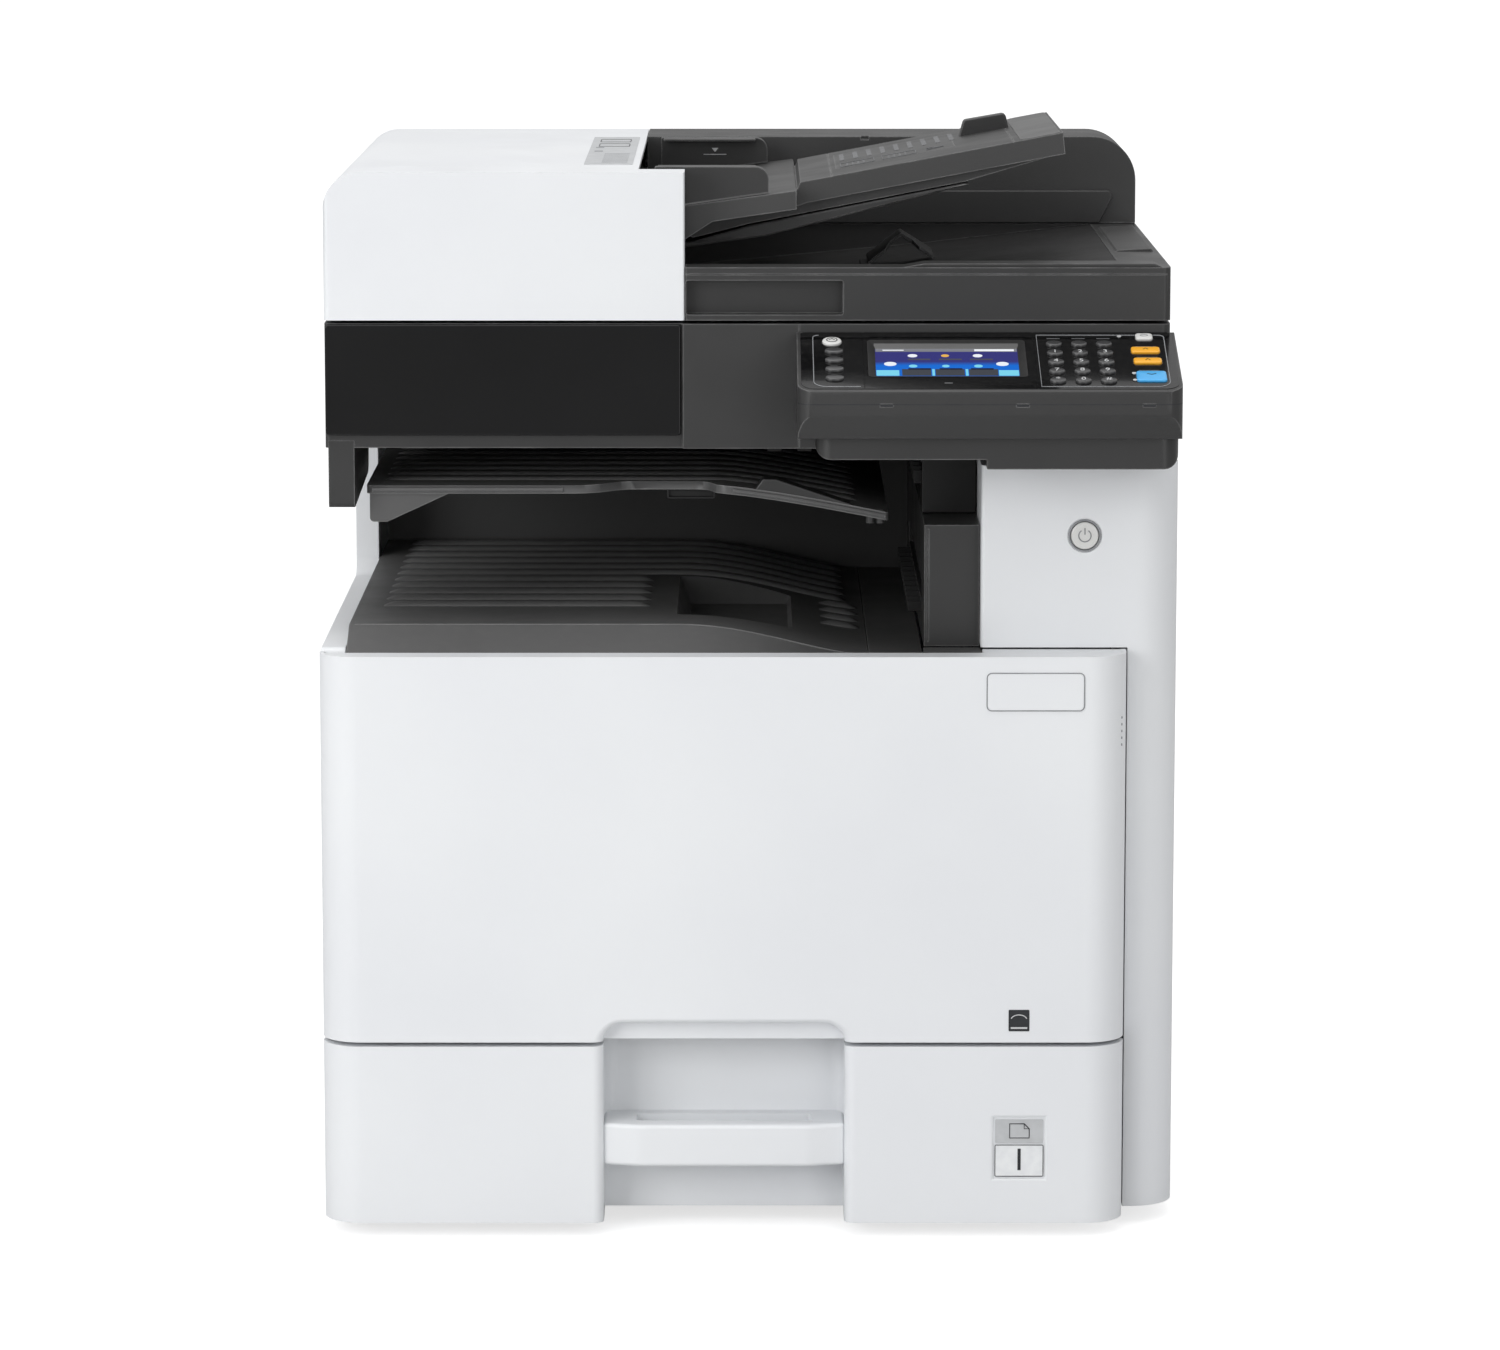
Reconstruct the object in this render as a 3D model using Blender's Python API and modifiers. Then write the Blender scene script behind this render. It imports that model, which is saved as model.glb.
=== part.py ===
"""A desktop multifunction copier: engine housing, paper cassette, flatbed scanner and document feeder.

Units are metres, +Z is up and the front of the machine faces -Y. The origin lies on the floor, under
the middle of the machine. Each sub-part is one named object, and each moving piece has its origin on
the axis that it turns about or slides along.
"""

import math

import bmesh
import bpy
from mathutils import Matrix, Vector

# ---------------------------------------------------------------- driving dimensions
HALF_WIDTH = 0.295
REAR_Y = 0.295
PANEL_FRONT_Y = -0.295
COVER_FACE_Y = -0.265
COVER_RIGHT_X = 0.258
COLUMN_FACE_Y = -0.224
COLUMN_LEFT_X = 0.1585
SCANNER_FACE_Y = -0.193

FOOT_HEIGHT = 0.0117
BASE_Z = 0.012
CASSETTE_BOTTOM_Z = 0.010
CASSETTE_TOP_Z = 0.1345
COVER_BOTTOM_Z = 0.1375
COVER_TOP_Z = 0.4055
TRAY_Z = 0.420
COLUMN_TOP_Z = 0.532
SCANNER_BOTTOM_Z = 0.540
SCANNER_TOP_Z = 0.6262
LID_BOTTOM_Z = 0.6285
LID_TOP_Z = 0.665
FEEDER_TOP_Z = 0.730

CORNER_RADIUS = 0.030
WALL = 0.003
SEAM = 0.0015
FIT = 0.0005
ARC_STEPS = 5
ROUND_STEPS = 24
CUT_MARGIN = 0.020

# Handle recess of the cassette, which the front cover arches over.
RECESS_LEFT_X = -0.101
RECESS_RIGHT_X = 0.065
RECESS_BACK_Y = -0.216
ARCH_TOP_Z = 0.150
ARCH_RADIUS = 0.014

# Operating panel: its top surface rises towards the back.
PANEL_LEFT_X = 0.032
PANEL_RIGHT_X = 0.2914
PANEL_EDGE_Z = 0.5906
PANEL_BACK_Z = 0.6206
PANEL_BOTTOM_Z = 0.557
PANEL_DEPTH = SCANNER_FACE_Y - FIT - PANEL_FRONT_Y
PANEL_TILT = math.atan2(PANEL_BACK_Z - PANEL_EDGE_Z, PANEL_DEPTH)
KEY_DEPTH = 0.006
KEY_RISE = 0.0018
KEY_CLEARANCE = 0.0004

# Axes of the moving pieces.
COVER_HINGE = Vector((0, -0.259, 0.1435))
DOOR_HINGE = Vector((0.2905, 0.2405, 0.290))
BYPASS_HINGE = Vector((0.2915, 0.0525, 0.164))
LID_HINGE = Vector((0, 0.286, 0.636))
FEEDER_HINGE = Vector((-0.288, 0.0485, 0.636))
TABLE_HINGE = Vector((-0.0735, 0.0125, 0.7225))
STOPPER_HINGE = Vector((0.086, 0.035, 0.6515))
LIFT_HINGE = Vector((-0.050, 0.025, 0.0245))

PAPER_CENTRE_Y = 0.025
PAPER_HALF_WIDTH = 0.1485
PAPER_LEFT_X = -0.2155

WHITE = ("white_plastic", (0.83, 0.84, 0.85), 0.42, 0.0)
GREY = ("grey_plastic", (0.50, 0.50, 0.51), 0.50, 0.0)
DARK = ("dark_plastic", (0.060, 0.060, 0.062), 0.48, 0.0)
GLOSS = ("gloss_black", (0.012, 0.012, 0.013), 0.10, 0.0)
STEEL = ("zinc_steel", (0.56, 0.57, 0.58), 0.38, 1.0)
RUBBER = ("rubber", (0.030, 0.030, 0.032), 0.80, 0.0)
GLASS = ("glass", (0.55, 0.62, 0.60), 0.05, 0.0)
YELLOW = ("yellow_key", (0.90, 0.50, 0.04), 0.40, 0.0)
BLUE = ("blue_key", (0.08, 0.48, 0.85), 0.40, 0.0)
DISPLAY = ("display", (0.03, 0.06, 0.25), 0.12, 0.0)
SHEET = ("white_sheet", (0.88, 0.88, 0.86), 0.65, 0.0)


# ---------------------------------------------------------------- modelling helpers
def clear_scene():
    for leftover in list(bpy.data.objects):
        bpy.data.objects.remove(leftover, do_unlink=True)


def new_collection(name):
    made = bpy.data.collections.new(name)
    bpy.context.scene.collection.children.link(made)
    return made


def finish(kind):
    """The material of one finish, made on its first use."""
    name, colour, roughness, metallic = kind
    if name in bpy.data.materials:
        return bpy.data.materials[name]
    made = bpy.data.materials.new(name)
    made.use_nodes = True
    shader = made.node_tree.nodes["Principled BSDF"]
    shader.inputs["Base Color"].default_value = (*colour, 1.0)
    shader.inputs["Roughness"].default_value = roughness
    shader.inputs["Metallic"].default_value = metallic
    made.diffuse_color = (*colour, 1.0)
    return made


def to_object(bm, name, kind, origin=None):
    """Turns a world-space bmesh into an object with its origin at a point; no kind makes a cutter."""
    origin = Vector(origin) if origin is not None else Vector((0, 0, 0))
    bmesh.ops.recalc_face_normals(bm, faces=bm.faces)
    bmesh.ops.translate(bm, verts=bm.verts, vec=-origin)
    mesh = bpy.data.meshes.new(name)
    bm.to_mesh(mesh)
    bm.free()
    made = bpy.data.objects.new(name, mesh)
    made.location = origin
    if kind is None:
        made.hide_render = True
        made.display_type = "WIRE"
        bpy.data.collections["cutters"].objects.link(made)
    else:
        mesh.materials.append(finish(kind))
        bpy.data.collections["copier"].objects.link(made)
    return made


def box(name, low, high, kind=None, origin=None):
    bm = bmesh.new()
    bmesh.ops.create_cube(bm, size=1.0)
    low, high = Vector(low), Vector(high)
    bmesh.ops.scale(bm, vec=high - low, verts=bm.verts)
    bmesh.ops.translate(bm, vec=(low + high) / 2, verts=bm.verts)
    return to_object(bm, name, kind, origin)


def prism(name, outline, axis, low, high, kind=None, origin=None):
    """Extrudes an outline along an axis: its points are (y, z) for X, (x, z) for Y and (x, y) for Z."""
    place = {
        "X": lambda u, v, w: (w, u, v),
        "Y": lambda u, v, w: (u, w, v),
        "Z": lambda u, v, w: (u, v, w),
    }[axis]
    bm = bmesh.new()
    face = bm.faces.new([bm.verts.new(place(u, v, low)) for u, v in outline])
    grown = bmesh.ops.extrude_face_region(bm, geom=[face])
    moved = [item for item in grown["geom"] if isinstance(item, bmesh.types.BMVert)]
    bmesh.ops.translate(bm, verts=moved, vec=place(0, 0, high - low))
    return to_object(bm, name, kind, origin)


def rounded(corners, steps=ARC_STEPS):
    """An outline from (u, v, radius) corners, each radius over zero made a tangent arc."""
    outline = []
    for index, (u, v, radius) in enumerate(corners):
        corner = Vector((u, v))
        if radius <= 0:
            outline.append(corner)
            continue
        before = (Vector(corners[index - 1][:2]) - corner).normalized()
        after = (Vector(corners[(index + 1) % len(corners)][:2]) - corner).normalized()
        half = before.angle(after) / 2
        reach = radius / math.tan(half)
        centre = corner + (before + after).normalized() * radius / math.sin(half)
        start = corner + before * reach - centre
        end = corner + after * reach - centre
        turn = start.angle_signed(end)
        for step in range(steps + 1):
            angle = -turn * step / steps
            outline.append(centre + Matrix.Rotation(angle, 2) @ start)
    return [(point.x, point.y) for point in outline]


def rounded_rectangle(left, right, low, high, radius, steps=ARC_STEPS):
    return rounded(
        [(left, low, radius), (right, low, radius), (right, high, radius), (left, high, radius)],
        steps,
    )


def turned(name, stations, axis, centre, kind, steps=ROUND_STEPS):
    """A turned piece: stations are (distance along the axis, radius), and the profile is swept by Screw."""
    profile = [(0.0, stations[0][0]), *((r, a) for a, r in stations), (0.0, stations[-1][0])]
    bm = bmesh.new()
    points = [bm.verts.new((r, 0, a)) for r, a in reversed(profile)]
    for first, second in zip(points, points[1:]):
        bm.edges.new((first, second))
    mesh = bpy.data.meshes.new(name)
    bm.to_mesh(mesh)
    bm.free()
    made = bpy.data.objects.new(name, mesh)
    mesh.materials.append(finish(kind))
    bpy.data.collections["copier"].objects.link(made)
    screw = made.modifiers.new("turn", "SCREW")
    screw.steps = steps
    screw.render_steps = steps
    screw.use_merge_vertices = True
    screw.merge_threshold = 0.00001
    screw.use_smooth_shade = True
    made.location = centre
    if axis == "X":
        made.rotation_euler.y = math.pi / 2
    if axis == "Y":
        made.rotation_euler.x = -math.pi / 2
    return made


def combine(target, other, operation="DIFFERENCE"):
    """Applies one Boolean to the target, and then removes the second shape."""
    step = target.modifiers.new(operation.lower(), "BOOLEAN")
    step.operation = operation
    step.object = other
    bpy.context.view_layer.update()
    graph = bpy.context.evaluated_depsgraph_get()
    mesh = bpy.data.meshes.new_from_object(target.evaluated_get(graph))
    target.modifiers.clear()
    old = target.data
    target.data = mesh
    bpy.data.meshes.remove(old)
    bpy.data.objects.remove(other, do_unlink=True)
    return target


def cut_box(target, low, high):
    return combine(target, box("cutter", low, high))


def cut_prism(target, outline, axis, low, high):
    return combine(target, prism("cutter", outline, axis, low, high))


def join_box(target, low, high):
    return combine(target, box("addition", low, high), "UNION")


def soften(target, width, segments=1, angle=40):
    """Rounds the sharp edges of a piece by a small chamfer."""
    bevel = target.modifiers.new("soft_edges", "BEVEL")
    bevel.width = width
    bevel.segments = segments
    bevel.limit_method = "ANGLE"
    bevel.angle_limit = math.radians(angle)
    bevel.harden_normals = False
    return target


def hang_on(parent, *children):
    """Parents pieces so that they keep their places and follow the parent."""
    bpy.context.view_layer.update()
    for child in children:
        child.parent = parent
        child.matrix_parent_inverse = parent.matrix_world.inverted()


def pivot(name, place):
    """An empty on a joint's axis, which the pieces of one moving body hang on."""
    made = bpy.data.objects.new(name, None)
    made.location = place
    made.empty_display_size = 0.03
    bpy.data.collections["copier"].objects.link(made)
    return made


def front_outline(inset=0.0, rear_left=-0.235, rear_right=-0.2265):
    """Plan of the front cover and the cassette front: a flat face with two round corners."""
    left = -HALF_WIDTH + inset
    right = COVER_RIGHT_X - inset
    face = COVER_FACE_Y + inset
    radius = CORNER_RADIUS - 0.002 - inset
    corners = [(left, rear_left, 0), (left, face, radius), (right, face, radius), (right, rear_right, 0)]
    return rounded(corners)


# ---------------------------------------------------------------- base, feet and outer covers
def build_base():
    """The sheet-metal bay that the cassette slides into, on four rubber feet."""
    frame = box("base_frame", (-0.272, -0.2095, BASE_Z), (0.256, 0.284, 0.1365), STEEL)
    cut_box(frame, (-0.264, -0.24, BASE_Z + 0.0035), (0.248, 0.276, 0.130))
    for side, x in (("left", -0.225), ("right", 0.225)):
        for end, y in (("front", -0.180), ("rear", 0.240)):
            stations = [(0.0, 0.0165), (0.002, 0.018), (FOOT_HEIGHT, 0.018)]
            turned(f"foot_{end}_{side}", stations, "Z", (x, y, 0), RUBBER, 20)


def build_left_side_cover():
    """The left cover, with the pillar at its rear that carries the scanner."""
    outer, inner = -HALF_WIDTH + FIT, -0.2775
    corners = [(-0.233, BASE_Z, 0), (0.289, BASE_Z, 0), (0.289, 0.5395, 0.004)]
    corners += [(0.144, 0.5395, 0.012), (0.144, 0.407, 0.010), (-0.233, 0.407, 0.004)]
    cover = prism("left_side_cover", rounded(corners, 3), "X", outer, inner, WHITE)
    cut_box(cover, (outer + WALL, -0.230, BASE_Z + WALL), (inner + CUT_MARGIN, 0.286, 0.404))
    cut_box(cover, (outer + WALL, 0.147, 0.390), (inner + CUT_MARGIN, 0.286, 0.5365))


def build_front_right_cover():
    """The column right of the front cover, whose top widens beside the exit opening."""
    rear = -0.150
    corners = [(COLUMN_LEFT_X, rear, 0), (COLUMN_LEFT_X, COLUMN_FACE_Y, 0.003)]
    corners += [(HALF_WIDTH, COLUMN_FACE_Y, CORNER_RADIUS), (HALF_WIDTH, rear, 0)]
    column = prism("front_right_cover", rounded(corners), "Z", BASE_Z, COLUMN_TOP_Z, WHITE)
    low_edge = COVER_RIGHT_X + SEAM
    cut_box(column, (0.14, -0.26, 0.0), (low_edge, -0.10, COVER_TOP_Z + FIT))
    for left, low, high in (
        (COLUMN_LEFT_X + WALL, COVER_TOP_Z + 2 * WALL, COLUMN_TOP_Z - WALL),
        (low_edge + WALL, BASE_Z + WALL, COVER_TOP_Z + 3 * WALL),
    ):
        inner = [(left, rear + CUT_MARGIN, 0), (left, COLUMN_FACE_Y + WALL, 0)]
        inner += [(HALF_WIDTH - WALL, COLUMN_FACE_Y + WALL, CORNER_RADIUS - WALL)]
        inner += [(HALF_WIDTH - WALL, rear + CUT_MARGIN, 0)]
        cut_prism(column, rounded(inner), "Z", low, high)
    ring = [
        (0.2295 + 0.0102 * math.cos(turn), 0.4836 + 0.0102 * math.sin(turn))
        for turn in (2 * math.pi * step / ROUND_STEPS for step in range(ROUND_STEPS))
    ]
    cut_prism(column, ring, "Y", COLUMN_FACE_Y - CUT_MARGIN, COLUMN_FACE_Y + CUT_MARGIN)
    button = [(0.0, 0.0094), (0.0095, 0.0094), (0.0105, 0.0084)]
    power = turned("power_button", button, "Y", (0.2295, COLUMN_FACE_Y - 0.0005, 0.4836), WHITE)
    power.rotation_euler.x = math.pi / 2
    power.location.y = COLUMN_FACE_Y + 0.0095


def build_right_side():
    """The right cover with the conveying door in it, and the bypass tray in the door."""
    inner_x = HALF_WIDTH - 0.0035
    cover = box("right_side_cover", (inner_x, -0.1485, BASE_Z), (HALF_WIDTH, 0.290, COLUMN_TOP_Z), WHITE)
    cut_box(cover, (0.28, -0.1365, 0.1385), (0.31, 0.2455, 0.4415))
    door = box("right_door", (0.262, -0.134, 0.140), (0.2945, 0.2435, 0.440), WHITE, DOOR_HINGE)
    cut_box(door, (0.2805, -0.1015, 0.1585), (0.31, 0.2065, 0.4015))
    cut_box(door, (0.24, -0.120, 0.152), (0.2675, 0.228, 0.428))
    soften(door, 0.001)
    tray = box("bypass_tray", (0.2825, -0.100, 0.160), (0.2945, 0.205, 0.400), WHITE, BYPASS_HINGE)
    cut_box(tray, (0.2885, 0.015, 0.380), (0.31, 0.090, 0.393))
    soften(tray, 0.001)
    hang_on(door, tray)


def build_rear():
    """The rear cover, the inlet that shows through it, and the supply behind it."""
    cover = box("rear_cover", (-0.2945, REAR_Y - 0.0035, BASE_Z), (0.2945, REAR_Y, 0.536), WHITE)
    cut_box(cover, (0.198, 0.28, 0.150), (0.232, 0.31, 0.178))
    soften(cover, 0.001)
    inlet = box("power_inlet", (0.1985, 0.268, 0.1505), (0.2315, REAR_Y - FIT, 0.1775), DARK)
    cut_prism(inlet, rounded_rectangle(0.2030, 0.2270, 0.1550, 0.1730, 0.003, 3), "Y", 0.279, 0.31)
    supply = box("power_supply", (-0.240, 0.205, 0.145), (0.150, 0.268, 0.255), STEEL)
    for fin in range(5):
        left = -0.225 + 0.06 * fin
        cut_box(supply, (left, 0.195, 0.215), (left + 0.035, 0.28, 0.27))


# ---------------------------------------------------------------- front cover and cassette
def arch_outline(grow=0.0, low=0.0, top=ARCH_TOP_Z):
    """The handle opening as seen from the front, with round upper corners."""
    left, right = RECESS_LEFT_X - grow, RECESS_RIGHT_X + grow
    return rounded([(left, low, 0), (right, low, 0), (right, top, ARCH_RADIUS), (left, top, ARCH_RADIUS)])


def build_front_cover():
    """The large front cover: a shallow tray that is open at the back."""
    cover = prism(
        "front_cover", front_outline(), "Z", COVER_BOTTOM_Z, COVER_TOP_Z, WHITE, COVER_HINGE
    )
    cut_prism(cover, arch_outline(), "Y", -0.30, -0.20)
    shell = [(-0.2915, -0.2), *front_outline(0.0035, -0.2, -0.2)[1:-1], (0.2545, -0.2)]
    inner = prism("cutter", shell, "Z", COVER_BOTTOM_Z + 0.0035, COVER_TOP_Z - 0.0035)
    combine(inner, prism("lip", arch_outline(0.0035, 0.0, ARCH_TOP_Z + 0.0035), "Y", -0.31, -0.19))
    combine(cover, inner)
    cut_box(cover, (-0.2914, -0.245, 0.130), (0.2544, -0.19, 0.420))


def build_cassette():
    """The cassette: white front with its handle, an open tray, the lift plate and three paper guides."""
    body = pivot("cassette_slide", (0, COVER_FACE_Y, 0.072))
    plan = front_outline(0.0, -0.2365, -0.2365)
    front = prism("cassette_front", plan, "Z", CASSETTE_BOTTOM_Z, CASSETTE_TOP_Z, WHITE)
    shell = [(-0.2915, -0.2), *front_outline(0.0035, -0.2, -0.2)[1:-1], (0.2545, -0.2)]
    hollow = prism("cutter", shell, "Z", CASSETTE_BOTTOM_Z + 0.0035, CASSETTE_TOP_Z - 0.0035)
    combine(hollow, box("core", (-0.1055, -0.30, 0.0), (0.0695, -0.10, 0.20)))
    combine(front, hollow)
    join_box(front, (-0.1054, -0.250, 0.0125), (0.0694, -0.211, CASSETTE_TOP_Z))
    cut_prism(front, rounded_rectangle(-0.101, 0.065, -0.35, RECESS_BACK_Y, 0.006, 3), "Z", -0.02, 0.20)
    bar_plan = [(RECESS_LEFT_X - 0.002, RECESS_BACK_Y + 0.002, 0), (RECESS_LEFT_X - 0.002, -0.258, 0)]
    bar_plan += [(-0.085, -0.2635, 0.012), (0.049, -0.2635, 0.012)]
    bar_plan += [(RECESS_RIGHT_X + 0.002, -0.258, 0), (RECESS_RIGHT_X + 0.002, RECESS_BACK_Y + 0.002, 0)]
    bar = prism("bar", rounded(bar_plan, 3), "Z", 0.0495, 0.079)
    combine(bar, box("pocket", (-0.080, -0.2525, 0.0545), (0.044, -0.2155, 0.10)))
    combine(front, bar, "UNION")
    cut_box(front, (0.1675, -0.28, 0.0413), (0.2036, COVER_FACE_Y + 0.0012, 0.0849))

    tray = box("cassette_tray", (-0.252, -0.2105, 0.019), (0.236, 0.262, 0.092), GREY)
    cut_box(tray, (-0.249, -0.2075, 0.022), (0.233, 0.259, 0.12))

    plate_low = (LIFT_HINGE.x, PAPER_CENTRE_Y - 0.135, 0.0235)
    plate = box("lift_plate", plate_low, (0.228, PAPER_CENTRE_Y + 0.135, 0.0255), STEEL, LIFT_HINGE)

    guides = []
    for name, side in (("width_guide_front", -1), ("width_guide_rear", 1)):
        wall = PAPER_CENTRE_Y + side * PAPER_HALF_WIDTH
        outline = [(wall, 0.0225), (wall + side * WALL, 0.0225), (wall + side * WALL, 0.085)]
        foot = wall - side * 0.022
        outline += [(wall, 0.085), (wall, 0.0255), (foot, 0.0245), (foot, 0.0225)]
        guides.append(prism(name, outline, "X", -0.150, -0.065, GREY, (-0.1075, wall, 0.0225)))
    stop = [(PAPER_LEFT_X - WALL, 0.0225), (-0.192, 0.0225), (-0.192, 0.0245), (PAPER_LEFT_X, 0.0255)]
    stop += [(PAPER_LEFT_X, 0.085), (PAPER_LEFT_X - WALL, 0.085)]
    guides.append(prism("length_guide", stop, "Y", 0.0, 0.050, GREY, (PAPER_LEFT_X, 0.025, 0.0225)))
    hang_on(body, front, tray, plate, *guides)


# ---------------------------------------------------------------- engine behind the front cover
def build_engine():
    """The inner front frame and the units that it carries."""
    frame = box("front_frame", (-0.274, -0.225, 0.1385), (0.250, -0.213, 0.3915), GREY)
    for index, toner in enumerate(("cyan", "magenta", "yellow", "black")):
        centre = -0.185 + 0.090 * index
        hole = rounded_rectangle(centre - 0.031, centre + 0.031, 0.284, 0.366, 0.013, 3)
        cut_prism(frame, hole, "Y", -0.24, -0.20)
        bottle = rounded_rectangle(centre - 0.030, centre + 0.030, 0.285, 0.365, 0.012, 3)
        prism(f"toner_container_{toner}", bottle, "Y", -0.2275, 0.120, DARK)
    waste = rounded_rectangle(-0.260, 0.060, 0.165, 0.235, 0.008, 3)
    prism("waste_toner_box", waste, "Y", -0.2425, -0.2255, WHITE)
    box("laser_unit", (-0.240, -0.160, 0.145), (0.190, 0.160, 0.182), DARK)
    belt = rounded_rectangle(-0.240, 0.160, 0.230, 0.270, 0.0195, 5)
    prism("transfer_belt_unit", belt, "Y", -0.170, 0.160, DARK)
    fuser = box("fuser_unit", (0.168, -0.190, 0.290), (0.257, 0.190, 0.3855), DARK)
    cut_box(fuser, (0.200, -0.175, 0.305), (0.28, 0.175, 0.370))
    roller = [(0, 0.004), (0.006, 0.004), (0.006, 0.014), (0.326, 0.014), (0.326, 0.004), (0.332, 0.004)]
    turned("fuser_roller", roller, "Y", (0.226, -0.166, 0.3375), RUBBER, 16)
    pickup = [(0, 0.004), (0.030, 0.004), (0.030, 0.011), (0.070, 0.011), (0.070, 0.004), (0.100, 0.004)]
    turned("pickup_roller", pickup, "Y", (0.200, -0.025, 0.1085), RUBBER, 16)


# ---------------------------------------------------------------- paper exit space
def build_exit_space():
    """The ribless core of the exit tray, the tray above it, the exit unit and the wall behind."""
    top = [(-0.2765, TRAY_Z), (-0.045, TRAY_Z), (-0.015, 0.4175), (0.030, 0.409)]
    top += [(0.076, 0.399), (0.119, 0.399)]
    tray = prism("exit_tray", [*top, (0.119, 0.3925), (-0.2765, 0.3925)], "Y", -0.2435, 0.2395, DARK)
    slope = [(-0.26, 0.398), (-0.2435, 0.405), (-0.208, TRAY_Z + FIT), (-0.208, 0.44), (-0.26, 0.44)]
    cut_prism(tray, slope, "X", -0.30, 0.14)
    cut_prism(tray, [(-0.053, 0.43), (-0.044, 0.405), (0.028, 0.4025), (0.037, 0.43)], "Y", -0.165, 0.040)

    upper = [(-0.266, 0.512), (-0.018, 0.512), (0.003, 0.5085), (0.050, 0.500), (0.096, 0.493)]
    lower = [(0.096, 0.488), (0.050, 0.494), (-0.018, 0.506), (-0.266, 0.506)]
    inner = prism("inner_tray", [*upper, *lower], "Y", -0.170, 0.2395, DARK)
    cut_box(inner, (-0.095, -0.20, 0.47), (-0.027, -0.145, 0.53))
    bracket = [(-0.264, 0.509), (-0.202, 0.509), (-0.252, 0.486), (-0.264, 0.486)]
    combine(inner, prism("bracket", bracket, "Y", -0.168, -0.110), "UNION")

    unit = box("exit_unit", (0.120, -0.208, 0.4045), (0.158, 0.2395, 0.489), DARK)
    join_box(unit, (0.120, -0.150, 0.470), (0.158, 0.2395, 0.5385))
    cut_box(unit, (0.10, -0.150, 0.4265), (0.136, 0.180, 0.4425))
    rings = [(0.0, 0.003)]
    for start in (0.030, 0.110, 0.190, 0.270):
        rings += [(start, 0.003), (start, 0.0062), (start + 0.025, 0.0062), (start + 0.025, 0.003)]
    turned("exit_roller", [*rings, (0.324, 0.003)], "Y", (0.1275, -0.147, 0.4345), RUBBER, 12)
    box("inner_back_wall", (-0.2765, 0.2402, 0.395), (0.158, 0.246, 0.5385), DARK)


# ---------------------------------------------------------------- scanner and operating panel
def build_scanner():
    """The scanner housing, its two glasses, the gloss front panel and the carriage below the glass."""
    plan = [(-0.293, -0.1885), (-0.0465, -0.1885), (-0.0465, SCANNER_FACE_Y), (0.289, SCANNER_FACE_Y)]
    plan += [(0.289, 0.290), (-0.293, 0.290)]
    housing = prism("scanner_housing", plan, "Z", SCANNER_BOTTOM_Z, SCANNER_TOP_Z, DARK)
    cut_box(housing, (-0.289, -0.1845, SCANNER_BOTTOM_Z + 0.0035), (0.285, 0.286, SCANNER_TOP_Z - 0.005))
    join_box(housing, (-0.291, -0.1885, 0.498), (-0.273, -0.035, SCANNER_BOTTOM_Z + 0.002))
    join_box(housing, (-0.290, -0.001, SCANNER_BOTTOM_Z + 0.002), (0.286, 0.009, 0.5645))
    glass_low_z = SCANNER_TOP_Z - 0.004
    for name, left, right in (("platen_glass", -0.215, 0.215), ("slit_glass", -0.262, -0.240)):
        cut_box(housing, (left - FIT, -0.1485, 0.61), (right + FIT, 0.1565, 0.65))
        box(name, (left, -0.148, glass_low_z), (right, 0.156, SCANNER_TOP_Z), GLASS)
    panel = box("scanner_left_panel", (-0.2925, SCANNER_FACE_Y, 0.549), (-0.0475, -0.189, 0.6255), GLOSS)
    soften(panel, 0.0008)
    carriage = [(-0.276, 0.5655), (-0.226, 0.5655), (-0.226, 0.610), (-0.234, 0.6195)]
    carriage += [(-0.268, 0.6195), (-0.276, 0.610)]
    prism("scan_carriage", carriage, "Y", -0.155, 0.163, DARK, (-0.251, 0.004, 0.5655))


def panel_point(x, up_slope, rise=0.0):
    """World position of a point on the operating panel's top surface."""
    along = Vector((0, math.cos(PANEL_TILT), math.sin(PANEL_TILT)))
    out = Vector((0, -math.sin(PANEL_TILT), math.cos(PANEL_TILT)))
    return Vector((x, PANEL_FRONT_Y, PANEL_EDGE_Z)) + along * up_slope + out * rise


def panel_piece(name, outline, place, low, high, kind=None):
    """A piece set square to the panel's surface, from an outline about its own centre."""
    made = prism(name, outline, "Z", low, high, kind)
    made.location = panel_point(*place)
    made.rotation_euler.x = PANEL_TILT
    return made


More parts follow.
